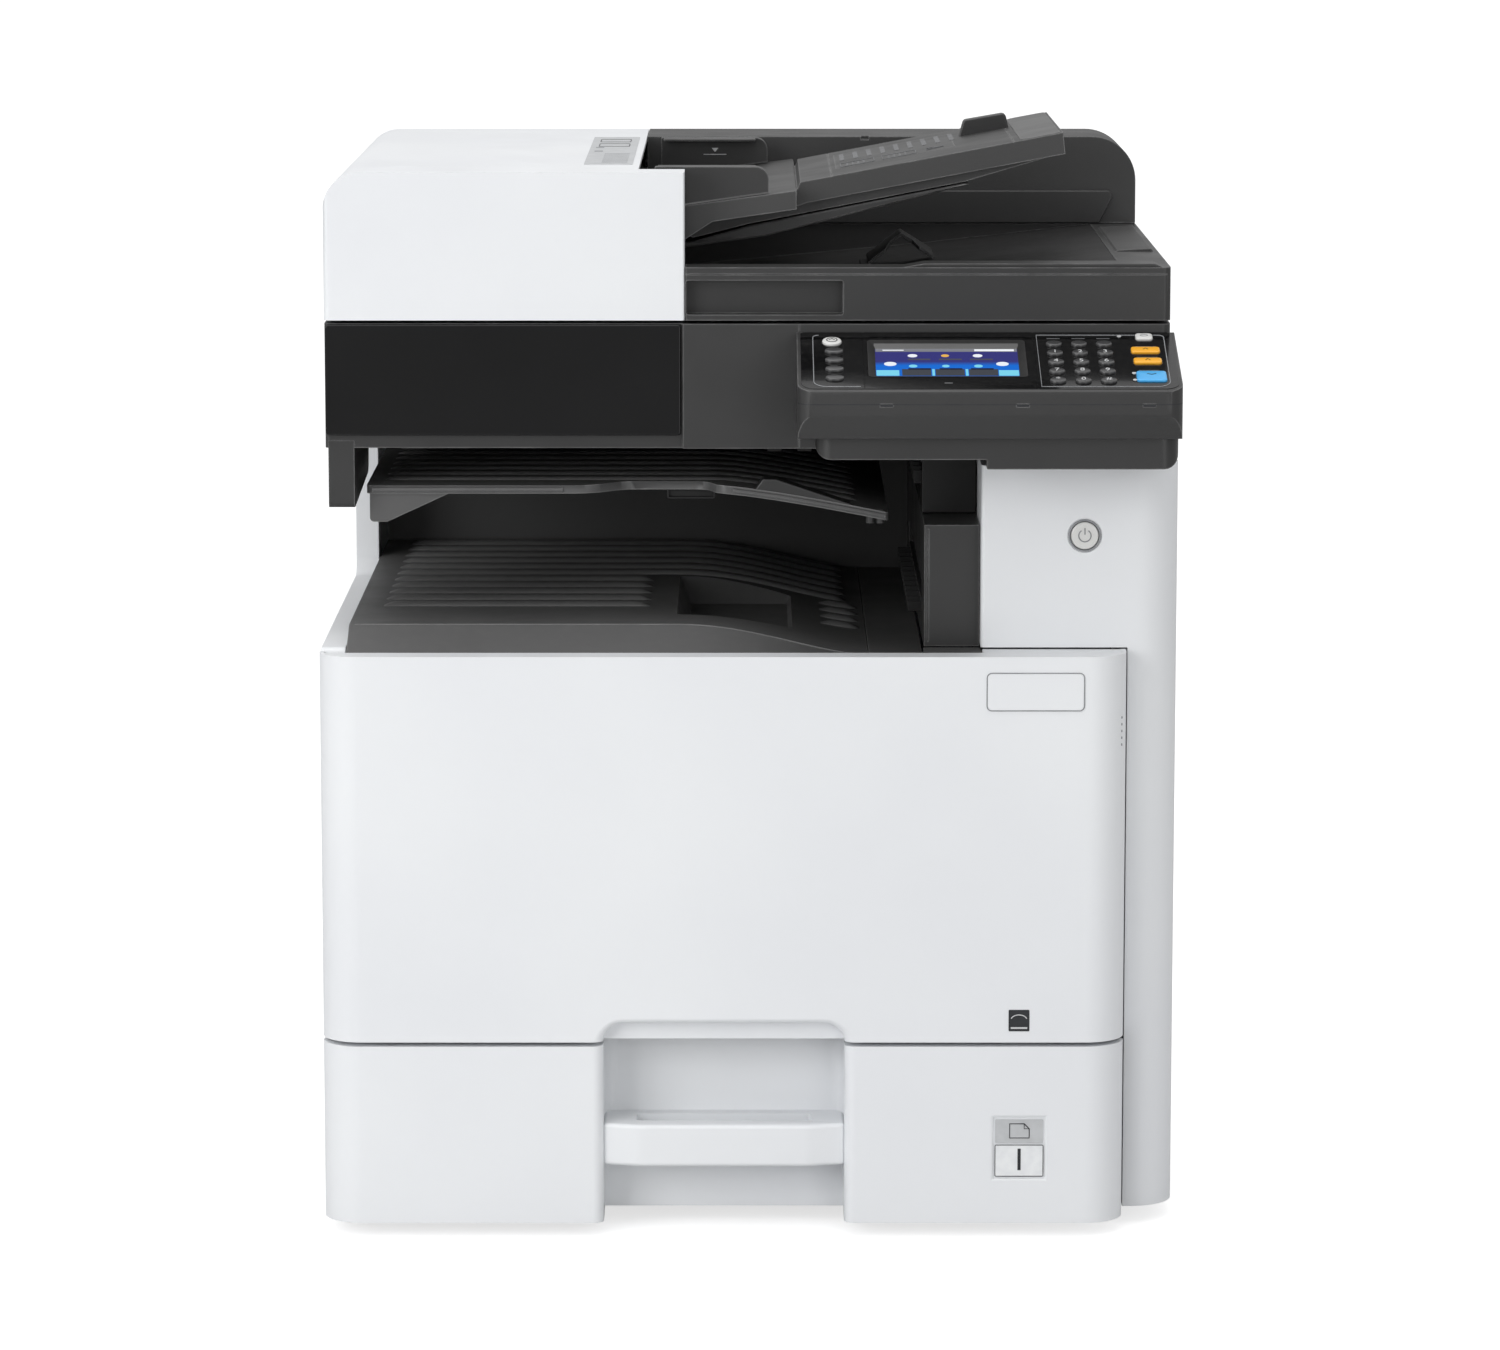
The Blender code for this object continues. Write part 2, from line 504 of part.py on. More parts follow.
def build_operating_panel():
    """The tilted panel with its display, its keys and the bracket below it."""
    back = SCANNER_FACE_Y - FIT
    side = [(back, PANEL_BOTTOM_Z), (back, PANEL_BACK_Z), (PANEL_FRONT_Y, PANEL_EDGE_Z)]
    side += [(PANEL_FRONT_Y, 0.574), (-0.284, PANEL_BOTTOM_Z)]
    panel = prism("control_panel", side, "X", PANEL_LEFT_X, PANEL_RIGHT_X, DARK)
    plan = [(PANEL_LEFT_X, back + 0.01, 0), (PANEL_LEFT_X, PANEL_FRONT_Y, 0.012)]
    plan += [(PANEL_RIGHT_X, PANEL_FRONT_Y, 0.012), (PANEL_RIGHT_X, back + 0.01, 0)]
    combine(panel, prism("plan", rounded(plan), "Z", 0.50, 0.65), "INTERSECT")
    bracket = [(0.044, 0.60, 0), (0.044, 0.542, 0.010), (0.160, 0.542, 0), (0.160, 0.5355, 0)]
    bracket += [(0.290, 0.5355, 0.012), (0.290, 0.60, 0)]
    shelf = prism("shelf", rounded(bracket, 3), "Y", -0.276, back)
    combine(shelf, box("cutter", (0.0, -0.30, PANEL_BOTTOM_Z + 0.004), (0.32, -0.15, 0.65)))
    combine(panel, shelf, "UNION")

    display = rounded_rectangle(-0.053, 0.053, -0.0325, 0.0325, 0.002, 1)
    pocket = rounded_rectangle(-0.0535, 0.0535, -0.033, 0.033, 0.002, 1)
    place = (0.134, 0.0576)
    combine(panel, panel_piece("cutter", pocket, place, -0.004, 0.01))
    panel_piece("panel_display", display, place, -0.0035, 0.0004, DISPLAY)

    keys = (
        ("home_key", 0.0560, 0.0868, 0.0066, 0.0066, 0.0064, WHITE),
        ("energy_key", 0.2699, 0.0950, 0.0058, 0.0050, 0.0015, WHITE),
        ("stop_key", 0.2695, 0.0709, 0.0098, 0.0048, 0.0015, YELLOW),
        ("reset_key", 0.2700, 0.0516, 0.0096, 0.0045, 0.0015, YELLOW),
        ("start_key", 0.2710, 0.0240, 0.0102, 0.0085, 0.0020, BLUE),
    )
    for name, x, up_slope, half_x, half_y, radius, kind in keys:
        steps = 4 if name == "home_key" else 2
        cap = rounded_rectangle(-half_x, half_x, -half_y, half_y, radius, steps)
        around = rounded_rectangle(
            -half_x - KEY_CLEARANCE, half_x + KEY_CLEARANCE,
            -half_y - KEY_CLEARANCE, half_y + KEY_CLEARANCE, radius, steps,
        )
        combine(panel, panel_piece("cutter", around, (x, up_slope), -KEY_DEPTH - 0.002, 0.01))
        panel_piece(name, cap, (x, up_slope), -KEY_DEPTH, KEY_RISE, kind)
    build_keypad(panel)


def build_keypad(panel):
    """The number keys: one silicone mat whose caps stand through the panel."""
    place = (0.2247, 0.0489)
    half_x, half_y = 0.0255, 0.0395
    pocket = rounded_rectangle(-half_x - FIT, half_x + FIT, -half_y - FIT, half_y + FIT, 0.002, 1)
    combine(panel, panel_piece("cutter", pocket, place, -KEY_DEPTH - 0.002, 0.01))
    outline = rounded_rectangle(-half_x, half_x, -half_y, half_y, 0.002, 1)
    mat = panel_piece("number_keypad", outline, place, -KEY_DEPTH, 0.0, DARK)
    for column in range(3):
        for row in range(5):
            x = place[0] + 0.0171 * (column - 1)
            up_slope = place[1] + 0.0163 * (row - 2)
            cap = rounded_rectangle(-0.0052, 0.0052, -0.0034, 0.0034, 0.0012, 1)
            combine(mat, panel_piece("cap", cap, (x, up_slope), -0.001, KEY_RISE), "UNION")


# ---------------------------------------------------------------- document feeder
def build_feeder():
    """The lid with the document feeder on it, which lifts about a line behind the glass."""
    lid = pivot("lid_hinge_line", LID_HINGE)
    plan = [(-0.278, -0.155), (-0.0445, -0.155), (-0.0445, SCANNER_FACE_Y), (0.289, SCANNER_FACE_Y)]
    plan += [(0.289, 0.290), (-0.0765, 0.290), (-0.0765, 0.2865), (-0.278, 0.2865)]
    base = prism("feeder_base", plan, "Z", LID_BOTTOM_Z, LID_TOP_Z, DARK)
    surface = [(-0.0780, 0.634), (-0.048, 0.634), (0.135, 0.651), (0.255, LID_TOP_Z - FIT), (0.255, 0.70)]
    cut_prism(base, [*surface, (-0.0780, 0.70)], "Y", -0.165, 0.1945)
    cut_box(base, (-0.044, -0.21, 0.6325), (0.064, -0.181, 0.6560))
    soften(base, 0.0008)
    sheet = box("platen_sheet", (-0.218, -0.150, 0.6268), (0.218, 0.158, LID_BOTTOM_Z - 0.0002), SHEET)

    side = [(-0.0765, LID_TOP_Z + FIT, 0), (0.289, LID_TOP_Z + FIT, 0)]
    side += [(0.289, FEEDER_TOP_Z, 0.033), (-0.0765, FEEDER_TOP_Z, 0)]
    housing = prism("feeder_rear_housing", rounded(side), "Y", 0.195, 0.290, DARK)
    cut_box(housing, (-0.060, 0.200, 0.650), (0.250, 0.286, 0.727))

    unit = box("feed_unit", (-0.272, -0.148, LID_TOP_Z + FIT), (-0.0790, 0.284, 0.7075), DARK)
    cut_box(unit, (-0.268, -0.144, 0.64), (-0.083, 0.280, 0.703))
    guide = [(-0.100, 0.672), (-0.048, 0.672), (0.011, 0.6805), (0.153, 0.7165), (0.150, 0.7175)]
    guide += [(0.0, 0.688), (-0.040, 0.677), (-0.100, 0.677)]
    guide = prism("guide", guide, "Y", -0.118, 0.112)
    combine(unit, guide, "UNION")
    roller = [(0, 0.003), (0.020, 0.003), (0.020, 0.008), (0.065, 0.008), (0.065, 0.003), (0.085, 0.003)]
    feed_roller = turned("feeder_roller", roller, "Y", (-0.100, -0.030, 0.7168), RUBBER, 16)
    hang_on(lid, base, sheet, housing, unit, feed_roller)
    hang_on(lid, build_feeder_cover(), *build_document_table(), build_eject_stopper())


def build_feeder_cover():
    """The white cover over the feed unit: open below and towards the document table."""
    plan = [(-0.293, SCANNER_FACE_Y), (-0.045, SCANNER_FACE_Y), (-0.045, -0.158), (-0.077, -0.158)]
    plan += [(-0.077, 0.290), (-0.293, 0.290)]
    cover = prism("feeder_cover", plan, "Z", LID_BOTTOM_Z, FEEDER_TOP_Z, WHITE, FEEDER_HINGE)
    shape = [(-0.293, 0.60, 0), (0.0, 0.60, 0), (0.0, FEEDER_TOP_Z, 0), (-0.293, FEEDER_TOP_Z, 0.025)]
    combine(cover, prism("shape", rounded(shape), "Y", -0.25, 0.35), "INTERSECT")
    inner = rounded([(-0.290, 0.60, 0), (-0.048, 0.60, 0), (-0.048, 0.727, 0), (-0.290, 0.727, 0.022)])
    cut_prism(cover, inner, "Y", SCANNER_FACE_Y + WALL, -0.161)
    inner = rounded([(-0.290, 0.60, 0), (0.0, 0.60, 0), (0.0, 0.727, 0), (-0.290, 0.727, 0.022)])
    cut_prism(cover, inner, "Y", -0.1615, 0.287)
    return cover


def build_document_table():
    """The sloping document table and the two side guides that slide across it."""
    hopper = [(-0.0745, 0.700), (0.031, 0.7145), (0.033, 0.7135), (0.035, 0.7185), (0.2180, 0.7530)]
    hopper += [(0.2195, 0.7380), (0.040, 0.7040), (0.032, 0.7015), (-0.026, 0.6930), (-0.046, 0.6800)]
    table = prism("document_table", [*hopper, (-0.0745, 0.6800)], "Y", -0.150, 0.178, DARK, TABLE_HINGE)
    for low, high in ((-0.17, -0.122), (0.116, 0.20)):
        cut_box(table, (0.0322, low, 0.66), (0.24, high, 0.78))
    stopper = [(0.149, 0.730), (0.188, 0.737), (0.184, 0.7575), (0.153, 0.7520)]
    combine(table, prism("stopper", stopper, "Y", 0.030, 0.044), "UNION")

    guides = []
    for name, side, inner_y in (("document_guide_front", -1, -0.1400), ("document_guide_rear", 1, 0.1650)):
        fence = rounded(
            [(-0.066, 0.7025, 0), (0.013, 0.7132, 0), (0.013, 0.731, 0.009), (-0.066, 0.731, 0)], 4
        )
        outer_y = inner_y + side * 0.010
        low, high = min(inner_y, outer_y), max(inner_y, outer_y)
        guides.append(prism(name, fence, "Y", low, high, DARK, (-0.030, inner_y, 0.7125)))
    hang_on(table, *guides)
    return (table,)


def build_eject_stopper():
    """The folding stopper on the eject surface, raised to a shallow ridge."""
    x, z = STOPPER_HINGE.x, STOPPER_HINGE.z
    ridge = [(x - 0.001, z - 0.0015), (x + 0.023, z + 0.0165), (x + 0.046, z + 0.003)]
    ridge += [(x + 0.046, z + 0.0055), (x + 0.023, z + 0.0195), (x - 0.001, z + 0.0015)]
    return prism("eject_stopper", ridge, "Y", 0.000, 0.070, DARK, STOPPER_HINGE)


def main():
    clear_scene()
    new_collection("copier")
    new_collection("cutters")
    build_base()
    build_left_side_cover()
    build_front_right_cover()
    build_right_side()
    build_rear()
    build_front_cover()
    build_cassette()
    build_engine()
    build_exit_space()
    build_scanner()
    build_operating_panel()
    build_feeder()


main()
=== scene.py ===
"""Looks of a desktop multifunction copier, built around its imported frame.

Each sub-assembly is a class that holds its sizes in metres and builds its own meshes. Each finish is a
frozen dataclass that builds one material. +Z is up, the machine faces -Y, and the origin lies on the
floor under its middle, as in the frame.
"""

import logging
import math
from collections.abc import Callable, Iterable, Sequence
from dataclasses import dataclass
from enum import Enum
from typing import Any

import bmesh
import bpy
from mathutils import Matrix, Vector


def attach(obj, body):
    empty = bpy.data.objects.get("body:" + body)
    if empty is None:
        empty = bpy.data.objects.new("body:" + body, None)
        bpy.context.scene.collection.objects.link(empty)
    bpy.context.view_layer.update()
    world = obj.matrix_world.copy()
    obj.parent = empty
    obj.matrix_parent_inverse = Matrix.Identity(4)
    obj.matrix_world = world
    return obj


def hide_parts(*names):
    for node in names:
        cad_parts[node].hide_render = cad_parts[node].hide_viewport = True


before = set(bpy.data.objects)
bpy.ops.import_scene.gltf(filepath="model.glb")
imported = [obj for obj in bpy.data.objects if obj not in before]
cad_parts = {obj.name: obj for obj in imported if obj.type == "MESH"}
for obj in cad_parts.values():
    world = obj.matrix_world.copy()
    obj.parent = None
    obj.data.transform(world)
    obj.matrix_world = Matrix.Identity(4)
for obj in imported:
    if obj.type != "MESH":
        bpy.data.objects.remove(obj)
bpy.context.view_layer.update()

LOG = logging.getLogger("copier")

Point = tuple[float, float]
Corner = tuple[float, float, float]
Place = tuple[float, float, float]
Rgb = tuple[int, int, int]
Thing = bpy.types.Object

PROUD = 0.0003


# ------------------------ outlines and meshes
class Axis(Enum):
    """The direction that an outline is extruded along."""

    X = 0
    Y = 1
    Z = 2

    def point(self, u: float, v: float, w: float) -> Vector:
        """The point at (u, v) in the outline's plane and w along the axis."""
        return Vector(((w, u, v), (u, w, v), (u, v, w))[self.value])


class Join(Enum):
    """What a Boolean does with its second shape."""

    CUT = "DIFFERENCE"
    ADD = "UNION"
    KEEP = "INTERSECT"


def rounded(corners: Sequence[Corner], steps: int = 8) -> list[Point]:
    """Makes an outline whose corners are tangent arcs.

    Args:
        corners: (u, v, radius) of each corner, in order round the outline.
        steps: straight pieces in each arc.

    Returns:
        The outline's points.
    """
    outline: list[Point] = []
    for index, (u, v, radius) in enumerate(corners):
        corner = Vector((u, v))
        if radius <= 0:
            outline.append((u, v))
            continue
        before = (Vector(corners[index - 1][:2]) - corner).normalized()
        after = (Vector(corners[(index + 1) % len(corners)][:2]) - corner).normalized()
        half = before.angle(after) / 2
        reach = radius / math.tan(half)
        centre = corner + (before + after).normalized() * radius / math.sin(half)
        start = corner + before * reach - centre
        turn = start.angle_signed(corner + after * reach - centre)
        for step in range(steps + 1):
            point = centre + Matrix.Rotation(-turn * step / steps, 2) @ start
            outline.append((point.x, point.y))
    return outline


def panel_outline(
    left: float, right: float, low: float, high: float, radius: float, steps: int = 6
) -> list[Point]:
    """A rectangle with four equal round corners."""
    corners = [(left, low, radius), (right, low, radius), (right, high, radius), (left, high, radius)]
    return rounded(corners, steps)


def laid(outline: Iterable[Point], axis: Axis, at: float) -> list[Vector]:
    """An outline's points in space, at a place along an axis."""
    return [axis.point(u, v, at) for u, v in outline]


def row(low: Place, size: Place, step: Place, count: int) -> list[tuple[Place, Place]]:
    """The lowest and highest corners of equal boxes, each a step away from the one before."""
    lows = [tuple(a + b * index for a, b in zip(low, step)) for index in range(count)]
    return [(low, tuple(a + b for a, b in zip(low, size))) for low in lows]


def ellipse(u: float, v: float, half_u: float, half_v: float, steps: int = 24) -> list[Point]:
    """An ellipse about (u, v)."""
    turns = (2 * math.pi * step / steps for step in range(steps))
    return [(u + half_u * math.cos(turn), v + half_v * math.sin(turn)) for turn in turns]


def settle(bm: bmesh.types.BMesh, name: str, matrix: Matrix | None = None) -> Thing:
    """Turns a bmesh into an object of the scene.

    Args:
        bm: the mesh in work, which is freed.
        name: the object's name.
        matrix: applied to the mesh first.

    Returns:
        The object, at the origin.
    """
    bmesh.ops.recalc_face_normals(bm, faces=bm.faces)
    if matrix is not None:
        bmesh.ops.transform(bm, matrix=matrix, verts=bm.verts)
    for face in bm.faces:
        face.smooth = True
    mesh = bpy.data.meshes.new(name)
    bm.to_mesh(mesh)
    bm.free()
    made = bpy.data.objects.new(name, mesh)
    bpy.context.scene.collection.objects.link(made)
    return made


def loft(bm: bmesh.types.BMesh, sections: Sequence[Sequence[Vector]]) -> None:
    """Skins closed sections of equal length into one closed body, in a bmesh."""
    rings = [[bm.verts.new(point) for point in section] for section in sections]
    count = len(rings[0])
    for low, high in zip(rings, rings[1:]):
        for side in range(count):
            after = (side + 1) % count
            bm.faces.new((low[side], low[after], high[after], high[side]))
    bm.faces.new(reversed(rings[0]))
    bm.faces.new(rings[-1])


def prism(name: str, outline: Sequence[Point], axis: Axis, low: float, high: float) -> Thing:
    """Extrudes an outline along an axis."""
    return stepped(name, axis, [(low, outline), (high, outline)])


def stepped(name: str, axis: Axis, layers: Sequence[tuple[float, Sequence[Point]]]) -> Thing:
    """Skins outlines of equal length that lie at several places along an axis."""
    bm = bmesh.new()
    loft(bm, [laid(outline, axis, at) for at, outline in layers])
    return settle(bm, name)


def boxes(name: str, spans: Iterable[tuple[Place, Place]]) -> Thing:
    """Several separate boxes in one mesh, from their lowest and highest corners."""
    bm = bmesh.new()
    for low, high in spans:
        outline = [(low[0], low[1]), (high[0], low[1]), (high[0], high[1]), (low[0], high[1])]
        loft(bm, [[Vector((x, y, z)) for x, y in outline] for z in (low[2], high[2])])
    return settle(bm, name)


def box(name: str, low: Place, high: Place) -> Thing:
    """One box, from its lowest and highest corners."""
    return boxes(name, [(low, high)])


def lathe(name: str, stations: Sequence[Point], axis: Axis, centre: Place, steps: int = 40) -> Thing:
    """Turns a profile about an axis.

    Args:
        name: the object's name.
        stations: (distance along the axis, radius), from one end to the other.
        axis: the axis of the turn.
        centre: where distance 0 lies.
        steps: sides of the turned piece.

    Returns:
        The turned piece, closed at both ends.
    """
    bm = bmesh.new()
    loft(bm, [laid(ellipse(0, 0, radius, radius, steps), axis, along) for along, radius in stations])
    return settle(bm, name, Matrix.Translation(centre))


def combine(target: Thing, other: Thing, join: Join = Join.CUT) -> Thing:
    """Applies one Boolean to the target and removes the second shape."""
    step = target.modifiers.new("join", "BOOLEAN")
    step.operation = join.value
    step.object = other
    step.solver = "EXACT"
    bpy.context.view_layer.update()
    graph = bpy.context.evaluated_depsgraph_get()
    mesh = bpy.data.meshes.new_from_object(target.evaluated_get(graph))
    target.modifiers.clear()
    target.data = mesh
    for polygon in mesh.polygons:
        polygon.use_smooth = True
    bpy.data.objects.remove(other, do_unlink=True)
    return target


def merge(name: str, parts: Sequence[Thing]) -> Thing:
    """Puts separate meshes into one object, without a Boolean."""
    bm = bmesh.new()
    for part in parts:
        bm.from_mesh(part.data)
        bpy.data.objects.remove(part, do_unlink=True)
    return settle(bm, name)


def soften(piece: Thing, width: float, segments: int = 3, angle: float = 35) -> Thing:
    """Rounds the sharp edges of a piece, which may be a node of the frame."""
    if piece.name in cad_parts:
        weld = piece.modifiers.new("weld", "WELD")
        weld.merge_threshold = 0.00001
    bevel = piece.modifiers.new("soft_edges", "BEVEL")
    bevel.width = width
    bevel.segments = segments
    bevel.limit_method = "ANGLE"
    bevel.angle_limit = math.radians(angle)
    bevel.miter_outer = "MITER_ARC"
    piece.modifiers.new("flat_faces", "WEIGHTED_NORMAL").keep_sharp = True
    return piece


def add_rib(
    bm: bmesh.types.BMesh, path: Sequence[Vector], half_width: float, rise: float, taper: float
) -> None:
    """Adds one half-round rib that runs along X over a surface.

    Args:
        bm: the mesh in work.
        path: points on the surface, in order of X.
        half_width: half of the rib's width along Y.
        rise: its height over the surface.
        taper: the length over which each end fades into the surface.
    """
    sections = []
    first, last = path[0].x, path[-1].x
    for point in path:
        share = min(1.0, (point.x - first + 0.0004) / taper, (last - point.x + 0.0004) / taper)
        height = rise * math.sin(share * math.pi / 2)
        section = [point + Vector((0, -half_width, -0.0015))]
        for step in range(9):
            turn = math.pi * (1 - step / 8)
            section.append(point + Vector((0, half_width * math.cos(turn), height * math.sin(turn))))
        section.append(point + Vector((0, half_width, -0.0015)))
        sections.append(section)
    loft(bm, sections)


def tube(name: str, points: Sequence[Vector], radius: float, closed: bool = False) -> Thing:
    """A round bead along a line of points."""
    curve = bpy.data.curves.new(name, "CURVE")
    curve.dimensions = "3D"
    curve.bevel_depth = radius
    curve.bevel_resolution = 2
    curve.use_fill_caps = not closed
    spline = curve.splines.new("POLY")
    spline.points.add(len(points) - 1)
    for knot, point in zip(spline.points, points):
        knot.co = (*point, 1.0)
    spline.use_cyclic_u = closed
    line = bpy.data.objects.new(name + "_line", curve)
    bpy.context.scene.collection.objects.link(line)
    bpy.context.view_layer.update()
    graph = bpy.context.evaluated_depsgraph_get()
    bm = bmesh.new()
    bm.from_mesh(line.evaluated_get(graph).to_mesh())
    bpy.data.objects.remove(line, do_unlink=True)
    return settle(bm, name)


def numerals(
    name: str, marks: Sequence[tuple[str, float, float, float]], rise: float, matrix: Matrix
) -> Thing:
    """Prints plain numerals as thin raised ink.

    Args:
        name: the object's name.
        marks: (characters, u, v, height) of each numeral.
        rise: the ink's height over the plane.
        matrix: takes the plane's (u, v, height) to the machine.

    Returns:
        One object with every numeral.
    """
    bm = bmesh.new()
    for characters, u, v, height in marks:
        text = bpy.data.curves.new(name, "FONT")
        text.body = characters
        text.size = height * 1.35
        text.align_x = "CENTER"
        text.align_y = "CENTER"
        text.extrude = 0.00008
        holder = bpy.data.objects.new(name + "_text", text)
        bpy.context.scene.collection.objects.link(holder)
        bpy.context.view_layer.update()
        mesh = holder.evaluated_get(bpy.context.evaluated_depsgraph_get()).to_mesh()
        mesh.transform(matrix @ Matrix.Translation((u, v, rise)))
        bm.from_mesh(mesh)
        bpy.data.objects.remove(holder, do_unlink=True)
    return settle(bm, name)


# ------------------------ shader node sheets and shared groups
def linear(colour: Rgb, alpha: float = 1.0) -> tuple[float, float, float, float]:
    """The shader's colour for screen values from 0 to 255."""
    shares = (value / 255 for value in colour)
    return (*(s / 12.92 if s <= 0.04045 else ((s + 0.055) / 1.055) ** 2.4 for s in shares), alpha)


class NodeSheet:
    """A node tree with short calls that add nodes and join their sockets."""

    def __init__(self, tree: bpy.types.NodeTree) -> None:
        """Keeps the tree that the calls work on."""
        self.tree = tree

    def put(self, socket: bpy.types.NodeSocket, value: Any) -> None:
        """Sets a socket to a value, or links it if the value is a socket."""
        if isinstance(value, bpy.types.NodeSocket):
            self.tree.links.new(value, socket)
        else:
            socket.default_value = value

    def node(
        self, kind: str, inputs: dict[str | int, Any] | None = None, **settings: Any
    ) -> bpy.types.Node:
        """Adds one node.

        Args:
            kind: Blender's name of the node's type.
            inputs: what each input is set to or linked from.
            settings: the node's own options.

        Returns:
            The node.
        """
        made = self.tree.nodes.new(kind)
        for name, value in settings.items():
            setattr(made, name, value)
        for key, value in (inputs or {}).items():
            self.put(made.inputs[key], value)
        return made

    def group(self, name: str, inputs: dict[str | int, Any]) -> bpy.types.Node:
        """Places a shared group with its own values."""
        made = self.tree.nodes.new("ShaderNodeGroup")
        made.node_tree = bpy.data.node_groups.get(name) or GROUPS[name]()
        for key, value in inputs.items():
            self.put(made.inputs[key], value)
        return made

    def maths(
        self, operation: str, first: Any, second: Any = 0.0, clamp: bool = False
    ) -> bpy.types.NodeSocket:
        """The result of one sum on two numbers."""
        made = self.node("ShaderNodeMath", {0: first, 1: second}, operation=operation, use_clamp=clamp)
        return made.outputs[0]

    def mix(self, share: Any, first: Any, second: Any, blend: str = "MIX") -> bpy.types.NodeSocket:
        """A colour between two others."""
        made = self.node("ShaderNodeMix", {0: share, 6: first, 7: second}, data_type="RGBA", blend_type=blend)
        return made.outputs[2]

    def spread(self, value: Any, low: float, high: float, from_low: float = 0, from_high: float = 1) -> Any:
        """A number moved from one span to another."""
        spans = {"Value": value, "From Min": from_low, "From Max": from_high, "To Min": low, "To Max": high}
        return self.node("ShaderNodeMapRange", spans).outputs[0]


def new_group(
    name: str, inputs: Sequence[tuple[str, str, Any]], outputs: Sequence[tuple[str, str]]
) -> tuple[NodeSheet, bpy.types.Node, bpy.types.Node]:
    """Starts a shared group.

    Args:
        name: the group's name.
        inputs: (label, kind, starting value) of each input.
        outputs: (label, kind) of each output.

    Returns:
        The group's sheet, its input node and its output node.
    """
    tree = bpy.data.node_groups.new(name, "ShaderNodeTree")
    for label, kind, value in inputs:
        socket = tree.interface.new_socket(label, in_out="INPUT", socket_type="NodeSocket" + kind)
        socket.default_value = value
    for label, kind in outputs:
        tree.interface.new_socket(label, in_out="OUTPUT", socket_type="NodeSocket" + kind)
    sheet = NodeSheet(tree)
    return sheet, sheet.node("NodeGroupInput"), sheet.node("NodeGroupOutput")


def moulded_tone() -> bpy.types.NodeTree:
    """Group: the slight drift of colour over a moulded surface."""
    inputs = [("Vector", "Vector", (0, 0, 0)), ("Colour", "Color", (0.5, 0.5, 0.5, 1))]
    inputs += [("Drift", "Color", (0.5, 0.5, 0.5, 1)), ("Scale", "Float", 5.0)]
    sheet, entry, result = new_group("moulded_tone", inputs, [("Colour", "Color")])
    soft = {"Vector": entry.outputs[0], "Scale": entry.outputs[3], "Detail": 2.0}
    cloud = sheet.node("ShaderNodeTexNoise", soft)
    share = sheet.spread(cloud.outputs["Fac"], 0, 1, 0.35, 0.65)
    sheet.put(result.inputs[0], sheet.mix(share, entry.outputs[1], entry.outputs[2]))
    return sheet.tree


def moulded_grain() -> bpy.types.NodeTree:
    """Group: the fine pebbled texture of a mould, as a height and a spread of gloss."""
    inputs = [("Vector", "Vector", (0, 0, 0)), ("Scale", "Float", 1500.0)]
    outputs = [("Height", "Float"), ("Gloss", "Float")]
    sheet, entry, result = new_group("moulded_grain", inputs, outputs)
    vector, scale = entry.outputs[0], entry.outputs[1]
    pebbles = sheet.node("ShaderNodeTexVoronoi", {"Vector": vector, "Scale": scale}, feature="SMOOTH_F1")
    finer = sheet.node("ShaderNodeTexNoise", {"Vector": vector, "Scale": scale, "Detail": 3.0})
    patches = sheet.node("ShaderNodeTexNoise", {"Vector": vector, "Scale": 22.0, "Detail": 4.0})
    sheet.put(result.inputs[0], sheet.maths("ADD", pebbles.outputs["Distance"], finer.outputs["Fac"]))
    sheet.put(result.inputs[1], patches.outputs["Fac"])
    return sheet.tree


def edge_wear_and_highlight() -> bpy.types.NodeTree:
    """Group: a mask along rounded edges, broken up by rubbing, that paints edges lighter for wear and as a
    painted highlight.
    """
    inputs = [("Vector", "Vector", (0, 0, 0)), ("Radius", "Float", 0.002), ("Amount", "Float", 1.0)]
    sheet, entry, result = new_group("edge_wear_and_highlight", inputs, [("Mask", "Float")])
    # The bevel mask marks rounded edges for rubbed wear and for a painted highlight.
    soft = sheet.node("ShaderNodeBevel", {"Radius": entry.outputs[1]}, samples=4)
    true = sheet.node("ShaderNodeNewGeometry")
    pair = {0: soft.outputs[0], 1: true.outputs["Normal"]}
    agree = sheet.node("ShaderNodeVectorMath", pair, operation="DOT_PRODUCT")
    edge = sheet.spread(agree.outputs["Value"], 1, 0, 0.8, 0.995)
    rub = sheet.node("ShaderNodeTexNoise", {"Vector": entry.outputs[0], "Scale": 60.0, "Detail": 5.0})
    rubbed_and_highlit = sheet.maths("MULTIPLY", edge, sheet.spread(rub.outputs["Fac"], 0.35, 1.0, 0.3, 0.7))
    sheet.put(result.inputs[0], sheet.maths("MULTIPLY", rubbed_and_highlit, entry.outputs[2], clamp=True))
    return sheet.tree


def settled_dust() -> bpy.types.NodeTree:
    """Group: a mask of dust on surfaces that look up."""
    inputs = [("Vector", "Vector", (0, 0, 0)), ("Scale", "Float", 90.0), ("Amount", "Float", 0.1)]
    sheet, entry, result = new_group("settled_dust", inputs, [("Mask", "Float")])
    facing = sheet.node("ShaderNodeSeparateXYZ", {0: sheet.node("ShaderNodeNewGeometry").outputs["Normal"]})
    upward = sheet.spread(facing.outputs["Z"], 0, 1, 0.6, 1.0)
    fine = {"Vector": entry.outputs[0], "Scale": entry.outputs[1], "Detail": 8.0}
    specks = sheet.node("ShaderNodeTexNoise", fine)
    sparse = sheet.spread(specks.outputs["Fac"], 0, 1, 0.45, 0.75)
    settled = sheet.maths("MULTIPLY", upward, sparse)
    sheet.put(result.inputs[0], sheet.maths("MULTIPLY", settled, entry.outputs[2]))
    return sheet.tree


